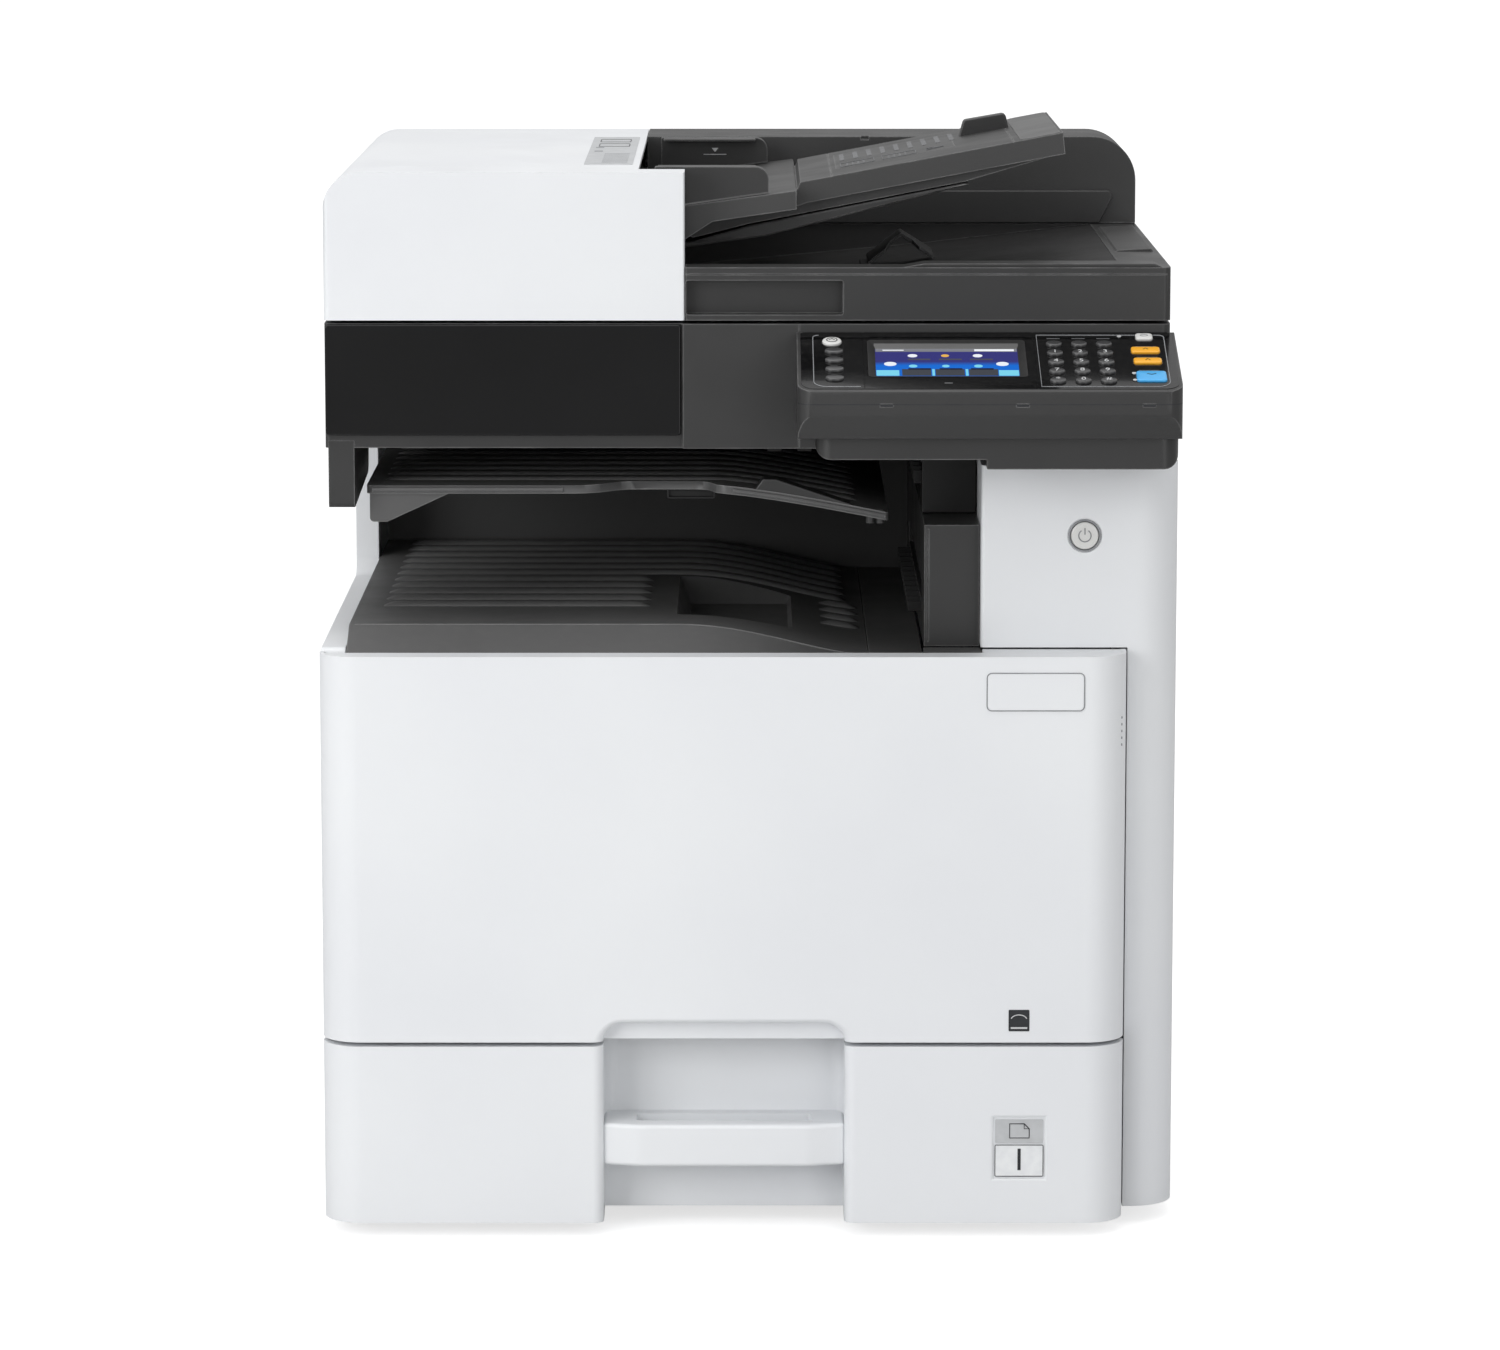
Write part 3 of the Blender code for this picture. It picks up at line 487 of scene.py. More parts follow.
def rolled_streaks() -> bpy.types.NodeTree:
    """Group: the streaks of rolling and wiping, as a number from 0 to 1."""
    inputs = [("Vector", "Vector", (0, 0, 0)), ("Scale", "Float", 60.0), ("Stretch", "Vector", (1, 1, 12))]
    sheet, entry, result = new_group("rolled_streaks", inputs, [("Streak", "Float")])
    pair = {0: entry.outputs[0], 1: entry.outputs[2]}
    long = sheet.node("ShaderNodeVectorMath", pair, operation="MULTIPLY")
    lines = {"Vector": long.outputs[0], "Scale": entry.outputs[1], "Detail": 6.0}
    streaks = sheet.node("ShaderNodeTexNoise", lines)
    sheet.put(result.inputs[0], sheet.spread(streaks.outputs["Fac"], 0, 1, 0.3, 0.7))
    return sheet.tree


GROUPS: dict[str, Callable[[], bpy.types.NodeTree]] = {
    "moulded_tone": moulded_tone,
    "moulded_grain": moulded_grain,
    "edge_wear_and_highlight": edge_wear_and_highlight,
    "settled_dust": settled_dust,
    "rolled_streaks": rolled_streaks,
}


def principled(name: str) -> tuple[bpy.types.Material, NodeSheet, bpy.types.Node, bpy.types.NodeSocket]:
    """A new material, its sheet, its Principled BSDF and the object coordinates that its textures use."""
    made = bpy.data.materials.new(name)
    made.use_nodes = True
    sheet = NodeSheet(made.node_tree)
    shader = made.node_tree.nodes["Principled BSDF"]
    return made, sheet, shader, sheet.node("ShaderNodeTexCoord").outputs["Object"]


def toned(sheet: NodeSheet, vector: Any, colour: Rgb, drift: Rgb, scale: float) -> bpy.types.NodeSocket:
    """A colour that drifts slightly towards another over the surface."""
    values = {"Vector": vector, "Colour": linear(colour), "Drift": linear(drift), "Scale": scale}
    return sheet.group("moulded_tone", values).outputs[0]


def dusted(sheet: NodeSheet, vector: Any, scale: float, amount: float) -> bpy.types.NodeSocket:
    """A mask of settled dust."""
    return sheet.group("settled_dust", {"Vector": vector, "Scale": scale, "Amount": amount}).outputs[0]


def grained(
    sheet: NodeSheet, shader: bpy.types.Node, vector: Any, scale: float, relief: Point, gloss: Point
) -> bpy.types.NodeSocket:
    """Gives a surface its grain.

    Args:
        sheet: the material's sheet.
        shader: its Principled BSDF, whose normal is set.
        vector: the coordinates.
        scale: how fine the grain is.
        relief: the bump's strength and its depth in metres.
        gloss: the roughness of the smoothest and of the roughest patches.

    Returns:
        The roughness over the surface.
    """
    grain = sheet.group("moulded_grain", {"Vector": vector, "Scale": scale})
    heights = {"Height": grain.outputs["Height"], "Strength": relief[0], "Distance": relief[1]}
    sheet.put(shader.inputs["Normal"], sheet.node("ShaderNodeBump", heights).outputs[0])
    return sheet.spread(grain.outputs["Gloss"], *gloss, 0.3, 0.7)


# ------------------------ finishes
DUST: Rgb = (176, 172, 166)
SHADED_DUST: Rgb = (120, 118, 114)
DUST_ON_GLASS: Rgb = (200, 205, 205)


@dataclass(frozen=True)
class Moulded:
    """Injection-moulded plastic with a fine grain, edges painted lighter for wear and as a painted highlight,
    and a little dust.
    """

    name: str
    slot: str
    colour: Rgb
    drift: Rgb
    roughness: float
    grain: float = 1500.0
    depth: float = 0.00003
    wear_and_highlight: float = 0.4
    # The colour painted along the edges: wear, and a painted highlight.
    wear_and_highlight_colour: Rgb = (244, 244, 242)
    dust: float = 0.08
    specular: float = 0.5
    coat: float = 0.0

    def material(self) -> bpy.types.Material:
        """Builds the material."""
        made, sheet, shader, vector = principled(self.name)
        tone = toned(sheet, vector, self.colour, self.drift, 4.0)
        # Rounded edges painted lighter: partly wear, partly a painted highlight.
        wear_and_highlight = sheet.group("edge_wear_and_highlight", {"Vector": vector, "Radius": 0.0014, "Amount": self.wear_and_highlight})
        dust = dusted(sheet, vector, 140.0, self.dust)
        worn_and_highlit = sheet.mix(wear_and_highlight.outputs[0], tone, linear(self.wear_and_highlight_colour))
        sheet.put(shader.inputs["Base Color"], sheet.mix(dust, worn_and_highlit, linear(DUST)))
        spread = (self.roughness - 0.05, self.roughness + 0.06)
        gloss = grained(sheet, shader, vector, self.grain, (0.5, self.depth), spread)
        sheet.put(shader.inputs["Roughness"], sheet.maths("ADD", gloss, dust))
        shader.inputs["Specular IOR Level"].default_value = self.specular
        shader.inputs["Coat Weight"].default_value = self.coat
        shader.inputs["Coat Roughness"].default_value = 0.08
        return made


@dataclass(frozen=True)
class Polished:
    """Glossy black plastic or key caps: a clear skin with faint wipe marks."""

    name: str
    slot: str
    colour: Rgb
    drift: Rgb
    roughness: float
    coat: float = 0.6
    specular: float = 0.5
    dust: float = 0.04

    def material(self) -> bpy.types.Material:
        """Builds the material."""
        made, sheet, shader, vector = principled(self.name)
        tone = toned(sheet, vector, self.colour, self.drift, 9.0)
        dust = dusted(sheet, vector, 220.0, self.dust)
        wipes = sheet.group("rolled_streaks", {"Vector": vector, "Scale": 14.0, "Stretch": (1, 2, 3)})
        sheet.put(shader.inputs["Base Color"], sheet.mix(dust, tone, linear(SHADED_DUST)))
        gloss = sheet.spread(wipes.outputs[0], self.roughness, self.roughness + 0.05)
        sheet.put(shader.inputs["Roughness"], gloss)
        shader.inputs["Specular IOR Level"].default_value = self.specular
        shader.inputs["Coat Weight"].default_value = self.coat
        shader.inputs["Coat Roughness"].default_value = 0.04
        return made


@dataclass(frozen=True)
class Steel:
    """Zinc-coated sheet steel with rolling streaks, or turned steel."""

    name: str
    slot: str
    colour: Rgb
    shade: Rgb
    roughness: float

    def material(self) -> bpy.types.Material:
        """Builds the material."""
        made, sheet, shader, vector = principled(self.name)
        streaks = sheet.group("rolled_streaks", {"Vector": vector, "Scale": 45.0, "Stretch": (1, 9, 1)})
        spangle = sheet.node("ShaderNodeTexVoronoi", {"Vector": vector, "Scale": 160.0})
        patches = sheet.mix(spangle.outputs["Distance"], linear(self.colour), linear(self.shade))
        sheet.put(shader.inputs["Base Color"], sheet.mix(streaks.outputs[0], patches, linear(self.shade)))
        gloss = sheet.spread(streaks.outputs[0], self.roughness, self.roughness + 0.15)
        sheet.put(shader.inputs["Roughness"], gloss)
        shader.inputs["Metallic"].default_value = 1.0
        return made


@dataclass(frozen=True)
class Rubber:
    """Matt rubber with a fine tooth."""

    name: str
    slot: str
    colour: Rgb
    shine: Rgb

    def material(self) -> bpy.types.Material:
        """Builds the material."""
        made, sheet, shader, vector = principled(self.name)
        sheet.put(shader.inputs["Base Color"], toned(sheet, vector, self.colour, self.shine, 40.0))
        gloss = grained(sheet, shader, vector, 2600.0, (0.7, 0.00006), (0.72, 0.92))
        sheet.put(shader.inputs["Roughness"], gloss)
        return made


@dataclass(frozen=True)
class Glass:
    """Flat float glass with a faint green body and a few specks."""

    name: str
    slot: str
    colour: Rgb

    def material(self) -> bpy.types.Material:
        """Builds the material."""
        made, sheet, shader, vector = principled(self.name)
        dust = dusted(sheet, vector, 300.0, 0.02)
        sheet.put(shader.inputs["Base Color"], sheet.mix(dust, linear(self.colour), linear(DUST_ON_GLASS)))
        sheet.put(shader.inputs["Roughness"], sheet.spread(dust, 0.02, 0.3))
        shader.inputs["Transmission Weight"].default_value = 0.85
        shader.inputs["IOR"].default_value = 1.5
        return made


@dataclass(frozen=True)
class Lit:
    """A lit screen area whose colour runs from its lower edge to its upper edge."""

    name: str
    slot: str
    low_colour: Rgb
    high_colour: Rgb
    low_z: float = 0.595
    high_z: float = 0.613
    glow: float = 0.85

    def material(self) -> bpy.types.Material:
        """Builds the material."""
        made, sheet, shader, vector = principled(self.name)
        height = sheet.node("ShaderNodeSeparateXYZ", {0: vector}).outputs["Z"]
        share = sheet.spread(height, 0, 1, self.low_z, self.high_z)
        cells = sheet.node("ShaderNodeTexNoise", {"Vector": vector, "Scale": 900.0, "Detail": 1.0})
        colour = sheet.mix(share, linear(self.low_colour), linear(self.high_colour))
        flicker = sheet.spread(cells.outputs["Fac"], 0.92, 1.0)
        lit = sheet.mix(1.0, colour, flicker, "MULTIPLY")
        sheet.put(shader.inputs["Emission Color"], lit)
        sheet.put(shader.inputs["Base Color"], sheet.mix(0.15, linear((4, 4, 6)), colour))
        shader.inputs["Emission Strength"].default_value = self.glow
        shader.inputs["Roughness"].default_value = 0.12
        return made


@dataclass(frozen=True)
class Printed:
    """Ink, labels and paper: a flat colour with the tooth of print."""

    name: str
    slot: str
    colour: Rgb
    drift: Rgb
    roughness: float = 0.55

    def material(self) -> bpy.types.Material:
        """Builds the material."""
        made, sheet, shader, vector = principled(self.name)
        sheet.put(shader.inputs["Base Color"], toned(sheet, vector, self.colour, self.drift, 120.0))
        spread = (self.roughness - 0.06, self.roughness + 0.06)
        gloss = grained(sheet, shader, vector, 3000.0, (0.3, 0.00002), spread)
        sheet.put(shader.inputs["Roughness"], gloss)
        return made


Finish = Moulded | Polished | Steel | Rubber | Glass | Lit | Printed

# Light grey painted on the dark plastics' edges: wear, and a painted highlight.
WORN_AND_HIGHLIT_EDGE: Rgb = (150, 150, 150)
WHITE = Moulded("white_covers", "white_plastic", (237, 239, 241), (232, 234, 237), 0.42, dust=0.02, wear_and_highlight=0.3)
WHITE_KEY = Moulded("white_key_caps", "white_plastic", (226, 226, 224), (216, 216, 214), 0.3, wear_and_highlight=0.5)
GREY = Moulded("grey_inner_parts", "grey_plastic", (168, 169, 171), (158, 159, 162), 0.5)
# The dark finishes below paint their edges much lighter: wear, and a painted highlight.
SATIN = Moulded(
    "dark_satin_covers", "dark_plastic", (55, 55, 55), (49, 49, 49), 0.36,
    wear_and_highlight=0.9, wear_and_highlight_colour=WORN_AND_HIGHLIT_EDGE, dust=0.03, specular=0.45,
)
GRAINED = Moulded(
    "dark_grained_trays", "dark_plastic", (86, 86, 86), (76, 76, 76), 0.5,
    grain=900.0, depth=0.00006, wear_and_highlight=0.8, wear_and_highlight_colour=WORN_AND_HIGHLIT_EDGE, dust=0.04, specular=0.4,
)
# A paler satin: the colour of the inner tray and the table's end cap, and painted light on the exit tray's
# sloping front, its crest, the inner tray's beads and the screen well's upper wall.
PALE_SATIN = Moulded(
    "pale_satin_and_painted_light", "dark_plastic", (96, 96, 96), (88, 88, 88), 0.42,
    wear_and_highlight=0.8, wear_and_highlight_colour=WORN_AND_HIGHLIT_EDGE, dust=0.03, specular=0.45,
)
TEXTURED = Moulded(
    "dark_textured_table", "dark_plastic", (66, 66, 66), (58, 58, 58), 0.45,
    grain=900.0, depth=0.00005, wear_and_highlight=0.9, wear_and_highlight_colour=(170, 170, 170), dust=0.03, specular=0.45,
)
DEEP = Moulded(
    "black_inner_parts", "dark_plastic", (36, 36, 36), (29, 29, 29), 0.55,
    wear_and_highlight=0.3, wear_and_highlight_colour=(70, 70, 71), dust=0.02, specular=0.3,
)
# Dark key caps whose edges carry a strong painted highlight as well as wear.
KEYCAP = Moulded(
    "dark_key_caps", "dark_plastic", (66, 66, 67), (56, 56, 57), 0.24,
    wear_and_highlight=1.0, wear_and_highlight_colour=(190, 190, 190), dust=0.0, specular=0.6,
)
GLOSS = Polished("piano_black", "gloss_black", (15, 15, 16), (10, 10, 11), 0.1, coat=0.25, specular=0.28)
YELLOW = Polished("yellow_key_caps", "yellow_key", (247, 178, 44), (240, 166, 30), 0.28, coat=0.2)
BLUE = Polished("blue_key_caps", "blue_key", (78, 178, 238), (64, 166, 230), 0.28, coat=0.2)
ZINC = Steel("zinc_sheet", "zinc_steel", (186, 188, 190), (150, 153, 156), 0.34)
ROLLER = Rubber("roller_rubber", "rubber", (40, 40, 42), (52, 52, 54))
FOOT = Rubber("foot_rubber", "rubber", (34, 34, 35), (46, 46, 47))
PANE = Glass("float_glass", "glass", (214, 226, 222))
BACKING = Printed("platen_backing", "white_sheet", (240, 240, 236), (238, 238, 234), 0.6)
CARD = Printed("white_card", "white_sheet", (238, 240, 241), (230, 232, 234), 0.5)
# Dark print, also used as painted shade in the panel's parting line and clip slots.
INK_AND_SHADE = Printed("dark_ink_and_painted_shade", "dark_plastic", (38, 40, 44), (30, 32, 36), 0.5)
# Pale print, also used as a painted highlight in the fine line round the panel's gloss plate.
LINE = Printed("pale_print_and_painted_highlight", "grey_plastic", (150, 152, 155), (138, 140, 143), 0.5)
LABEL = Printed("grey_label_print", "grey_plastic", (196, 198, 200), (188, 190, 192), 0.5)
PALE = Printed("pale_key_print", "white_plastic", (206, 207, 208), (196, 197, 198), 0.4)
PICTOGRAM = Printed("dim_pictogram_print", "grey_plastic", (112, 113, 115), (100, 101, 103), 0.5)
SCREEN = Lit("screen_backlight", "display", (14, 108, 214), (52, 52, 122), 0.603, 0.605)
SCREEN_GREY = Lit("screen_grey_tiles", "display", (70, 74, 82), (140, 142, 150), 0.603, 0.611, glow=0.7)
SCREEN_GOLD = Lit("screen_gold_mark", "display", (236, 170, 60), (240, 190, 90), glow=0.85)
SCREEN_DIM = Lit("screen_dim_words", "display", (30, 34, 60), (88, 88, 104), 0.603, 0.606, glow=0.6)
SCREEN_WHITE = Lit("screen_white_marks", "display", (230, 236, 244), (244, 246, 250), glow=0.9)
SCREEN_CYAN = Lit("screen_cyan_tiles", "display", (120, 214, 240), (140, 220, 244), glow=0.85)


def dressed(finish: Finish) -> bpy.types.Material:
    """The material of a finish, built on its first use."""
    return bpy.data.materials.get(finish.name) or finish.material()


def place(piece: Thing, finish: Finish, body: str = "housing", stands_for: Sequence[str] = ()) -> Thing:
    """Dresses a finished piece and puts it on its body.

    Args:
        piece: the piece, in place.
        finish: its finish.
        body: the body that it moves with.
        stands_for: nodes of the frame that it replaces.

    Returns:
        The piece.
    """
    piece.data.materials.clear()
    piece.data.materials.append(dressed(finish))
    if not piece.modifiers:
        piece.data.set_sharp_from_angle(angle=math.radians(38))
    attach(piece, body)
    if stands_for:
        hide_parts(*stands_for)
    LOG.info("%s: %s on body %s", piece.name, finish.name, body)
    return piece


def keep(node: str, finish: Finish, edge: float = 0.0, segments: int = 2) -> Thing:
    """Dresses a node that is shown as it is, with its sharp edges softened.

    Args:
        node: the node's name.
        finish: its finish.
        edge: the width of the softened edges, or 0 for none.
        segments: steps across each softened edge.

    Returns:
        The node's object.
    """
    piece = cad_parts[node]
    piece.data.materials.clear()
    piece.data.materials.append(dressed(finish))
    for polygon in piece.data.polygons:
        polygon.material_index = 0
    if edge:
        soften(piece, edge, segments)
    LOG.info("%s: kept, %s", node, finish.name)
    return piece


def repaint(piece: Thing, finish: Finish, chosen: Callable[[Vector, Vector], bool]) -> Thing:
    """Gives some faces of a piece a second finish.

    Args:
        piece: the piece, already placed.
        finish: the second finish.
        chosen: picks the faces by their centre and their normal.

    Returns:
        The piece.
    """
    piece.data.materials.append(dressed(finish))
    for face in piece.data.polygons:
        if chosen(face.center, face.normal):
            face.material_index = len(piece.data.materials) - 1
    return piece


# ------------------------ front cover and cassette
def front_plan(inset: float = 0.0, rear: float = -0.2365, radius: float = 0.028) -> list[Point]:
    """Plan of the front cover and of the cassette's front, with two round corners."""
    left, right, face = -0.295 + inset, 0.258 - inset, -0.265 + inset
    radius -= inset
    return rounded([(left, rear, 0), (left, face, radius), (right, face, radius), (right, rear, 0)], 14)


def flare(depth: float, radius: float) -> float:
    """How far a rolled edge stands open at a depth behind the face."""
    if depth >= radius:
        return 0.0
    return radius - math.sqrt(radius**2 - (radius - depth) ** 2)


@dataclass
class FrontCover:
    """The large front cover, with the arch over the cassette's handle."""

    face: float = -0.265
    bottom: float = 0.1375
    top: float = 0.4055
    arch_left: float = -0.101
    arch_right: float = 0.065
    arch_top: float = 0.15
    arch_radius: float = 0.014
    roll: float = 0.0075
    band: float = -0.2515
    grip_low: float = 0.312
    grip_high: float = 0.373

    def arch(self, grow: float) -> list[Point]:
        """The arch's outline as seen from the front, grown by a margin."""
        left, right, top = self.arch_left - grow, self.arch_right + grow, self.arch_top + grow * 0.6
        radius = self.arch_radius + grow
        return rounded([(left, 0.0, 0), (right, 0.0, 0), (right, top, radius), (left, top, radius)], 10)

    def shell(self) -> Thing:
        """The cover: a shallow tray, open at the back, with its edges rolled inwards round the arch."""
        cover = prism("front_cover_shell", front_plan(0.0, -0.2265), Axis.Z, self.bottom, self.top)
        combine(cover, box("trim", (-0.31, -0.2349, 0.1), (-0.2905, -0.2, 0.45)))
        depths = [self.roll * (1 - math.cos(math.pi / 2 * step / 8)) for step in range(9)]
        layers = [(self.face - 0.02, self.arch(self.roll))]
        layers += [(self.face + depth, self.arch(flare(depth, self.roll))) for depth in depths]
        layers += [(self.band, self.arch(0.0))]
        combine(cover, stepped("arch_cutter", Axis.Y, layers))
        inner = prism("inner", front_plan(0.0035, -0.15), Axis.Z, self.bottom + 0.0035, self.top - 0.0035)
        combine(inner, prism("lip", self.arch(0.0035 + self.roll), Axis.Y, -0.31, self.band + 0.003))
        combine(cover, inner)
        combine(cover, box("open_back", (-0.2914, -0.245, 0.12), (0.2544, -0.19, 0.42)))
        grips = [((-0.31, -0.31, self.grip_low), (-0.2892, -0.2502, self.grip_high))]
        grips += [((0.2525, -0.31, self.grip_low), (0.27, -0.2502, self.grip_high))]
        combine(cover, soften_now(boxes("grips", grips), 0.005))
        return soften(cover, 0.0012, 3, 40)

    def nameplate(self) -> Thing:
        """The blank raised plate at the upper right."""
        outline = panel_outline(0.162, 0.2275, 0.369, 0.394, 0.003)
        plate = prism("nameplate_blank", outline, Axis.Y, self.face - 0.0005, self.face + 0.0006)
        return soften(plate, 0.0002, 2)

    def nameplate_line(self) -> Thing:
        """The fine line round the nameplate."""
        line = panel_outline(0.1615, 0.228, 0.3685, 0.3945, 0.0034)
        return tube("nameplate_line", laid(line, Axis.Y, self.face - 0.0004), 0.0003, closed=True)

    def sticker(self) -> tuple[Thing, Thing]:
        """A plain dark label at the lower right, and the pale band across it."""
        label = prism("corner_label", panel_outline(0.1777, 0.192, 0.1455, 0.1605, 0.0006, 2), Axis.Y,
                      self.face - PROUD, self.face + PROUD)
        arc = [(0.1848 + 0.0055 * math.cos(turn), 0.1535 + 0.0035 * math.sin(turn))
               for turn in (math.pi * step / 12 for step in range(1, 12))]
        marks = [tube("label_arc", laid(arc, Axis.Y, self.face - 0.0004), 0.00035)]
        marks += [box("label_rule", (0.1792, self.face - 0.0005, 0.1472), (0.1905, self.face, 0.1484))]
        return label, merge("corner_label_marks", marks)

    def grip_dots(self) -> Thing:
        """Five small raised dots in the right grip."""
        dots = row((0.2531, -0.2512, 0.342), (0.0018, 0.0014, 0.0018), (0, 0, 0.0047), 5)
        return soften(boxes("grip_dots", dots), 0.0004, 2)

    def hinge_knuckles(self) -> Thing:
        """The hinge ears inside the cover's lower edge."""
        corners = [(-0.2625, 0.1425, 0), (-0.2505, 0.1425, 0), (-0.2505, 0.158, 0.005), (-0.2625, 0.158, 0)]
        outline = rounded(corners)
        ears = [prism("ear", outline, Axis.X, x, x + 0.008) for x in (-0.262, -0.15, 0.11, 0.228)]
        return merge("front_cover_hinge_ears", ears)

    def ribs(self) -> Thing:
        """The stiffening ribs behind the cover's face."""
        spans = row((-0.24, -0.2618, 0.162), (0.0015, 0.0066, 0.238), (0.06, 0, 0), 8)
        spans += row((-0.264, -0.2618, 0.2), (0.492, 0.0058, 0.0015), (0, 0, 0.06), 4)
        return boxes("front_cover_ribs", spans)

    def build(self) -> None:
        """Builds the cover and what is on it."""
        place(self.shell(), WHITE, "front_cover", ["front_cover"])
        pieces = [(self.nameplate(), WHITE), (self.nameplate_line(), LINE)]
        label, marks = self.sticker()
        pieces += [(label, INK_AND_SHADE), (marks, PALE), (self.grip_dots(), LINE)]
        pieces += [(self.hinge_knuckles(), WHITE), (self.ribs(), WHITE)]
        for piece, finish in pieces:
            place(piece, finish, "front_cover")


def soften_now(piece: Thing, width: float, segments: int = 4) -> Thing:
    """Rounds a piece's sharp edges in its mesh, so that it can be a cutter."""
    bm = bmesh.new()
    bm.from_mesh(piece.data)
    sharp = [edge for edge in bm.edges if edge.calc_face_angle(0) > 0.6]
    bmesh.ops.bevel(bm, geom=sharp, offset=width, segments=segments, profile=0.5, affect="EDGES")
    bm.to_mesh(piece.data)
    bm.free()
    return piece


@dataclass
class Cassette:
    """The paper cassette: its front with the handle, its tray, lift plate and guides."""

    face: float = -0.265
    bottom: float = 0.01
    top: float = 0.1345
    recess_back: float = -0.216
    recess_foot: float = -0.2245
    roll: float = 0.0075
    bar_low: float = 0.0495
    bar_high: float = 0.079

    def recess_cutter(self) -> Thing:
        """The handle recess, rolled at its sides and leaning forward at its foot."""
        layers = []
        steps = [0.0] + [self.roll * (1 - math.cos(math.pi / 2 * step / 8)) for step in range(1, 9)]
        for depth in [-0.03, *steps, 0.0405]:
            grow = flare(max(depth, 0.0), self.roll)
            left, right = -0.101 - grow, 0.065 + grow
            layers.append((self.face + depth, [(left, -0.02), (right, -0.02), (right, 0.16), (left, 0.16)]))
        cutter = stepped("recess_cutter", Axis.Y, layers)
        foot, back = self.recess_foot, self.recess_back
        wall = [(-0.235, -0.02), (foot, -0.02), (foot, 0.018), (back, 0.072), (back, 0.16), (-0.235, 0.16)]
        deep = prism("deep", wall, Axis.X, -0.101, 0.065)
        sides = [(-0.101, -0.26, 0), (0.065, -0.26, 0), (0.065, back, 0.01), (-0.101, back, 0.01)]
        combine(deep, prism("sides", rounded(sides, 6), Axis.Z, -0.03, 0.17), Join.KEEP)
        return combine(cutter, deep, Join.ADD)

    def handle(self) -> Thing:
        """The handle bar: a bowed front, a deep roll on its upper edge and a finger pocket."""
        plan = [(-0.1014, self.recess_back + 0.003, 0), (-0.1014, -0.2575, 0.003), (-0.076, -0.2638, 0.03)]
        plan += [(0.04, -0.2638, 0.03), (0.0654, -0.2575, 0.003), (0.0654, self.recess_back + 0.003, 0)]
        bar = prism("cassette_handle", rounded(plan, 10), Axis.Z, self.bar_low, self.bar_high)
        bar = soften_now(bar, 0.003, 5)
        pocket = panel_outline(-0.08, 0.044, -0.25, -0.227, 0.003, 4)
        smaller = panel_outline(-0.0785, 0.0425, -0.2485, -0.228, 0.003, 4)
        combine(bar, stepped("pocket", Axis.Z, [(0.0625, smaller), (0.077, smaller), (0.1, pocket)]))
        return soften(bar, 0.0006, 2, 40)

    def front(self) -> Thing:
        """The cassette's front panel, hollow behind its face."""
        panel = prism("cassette_front_panel", front_plan(), Axis.Z, self.bottom, self.top)
        hollow = prism("hollow", front_plan(0.0035, -0.19), Axis.Z, self.bottom + 0.0035, self.top - 0.0035)
        combine(hollow, box("core", (-0.1155, -0.3, 0.0), (0.0795, -0.1, 0.2)))
        combine(panel, hollow)
        combine(panel, box("core", (-0.1054, -0.25, 0.0125), (0.0694, -0.211, self.top)), Join.ADD)
        combine(panel, self.recess_cutter())
        outer = panel_outline(0.1655, 0.2056, 0.0393, 0.0869, 0)
        inner = panel_outline(0.1675, 0.2036, 0.0413, 0.0849, 0)
        layers = [(-0.01, outer), (-0.0001, outer), (0.0012, inner), (0.002, inner)]
        layers = [(self.face + depth, outline) for depth, outline in layers]
        combine(panel, stepped("window", Axis.Y, layers))
        return soften(panel, 0.0011, 3, 40)

    def window(self) -> None:
        """The paper-size window: a grey card with a sheet mark over a white card with a number."""
        depth = self.face + 0.0018
        upper = panel_outline(0.169, 0.2021, 0.0665, 0.083, 0.0006, 2)
        lower = panel_outline(0.169, 0.2021, 0.043, 0.065, 0.0006, 2)
        place(prism("size_card", upper, Axis.Y, depth - 0.0004, depth), LABEL, "cassette")
        place(prism("number_card", lower, Axis.Y, depth - 0.0006, depth), CARD, "cassette")
        upright = Matrix.Translation((0, depth - 0.0006, 0)) @ Matrix.Rotation(math.pi / 2, 4, "X")
        number = numerals("cassette_number", [("1", 0.1856, 0.054, 0.0165)], 0.0001, upright)
        place(number, INK_AND_SHADE, "cassette")
        sheet = [(0.179, 0.07), (0.1925, 0.07), (0.1925, 0.0765), (0.189, 0.08), (0.179, 0.08)]
        fold = [(0.189, 0.08), (0.189, 0.0765), (0.1925, 0.0765)]
        lines = [tube("border", laid(lower, Axis.Y, depth - 0.0006), 0.00028, closed=True)]
        lines += [tube("sheet", laid(sheet, Axis.Y, depth - 0.0004), 0.0004, closed=True)]
        lines += [tube("fold", laid(fold, Axis.Y, depth - 0.0004), 0.0003)]
        place(merge("size_mark", lines), INK_AND_SHADE, "cassette")

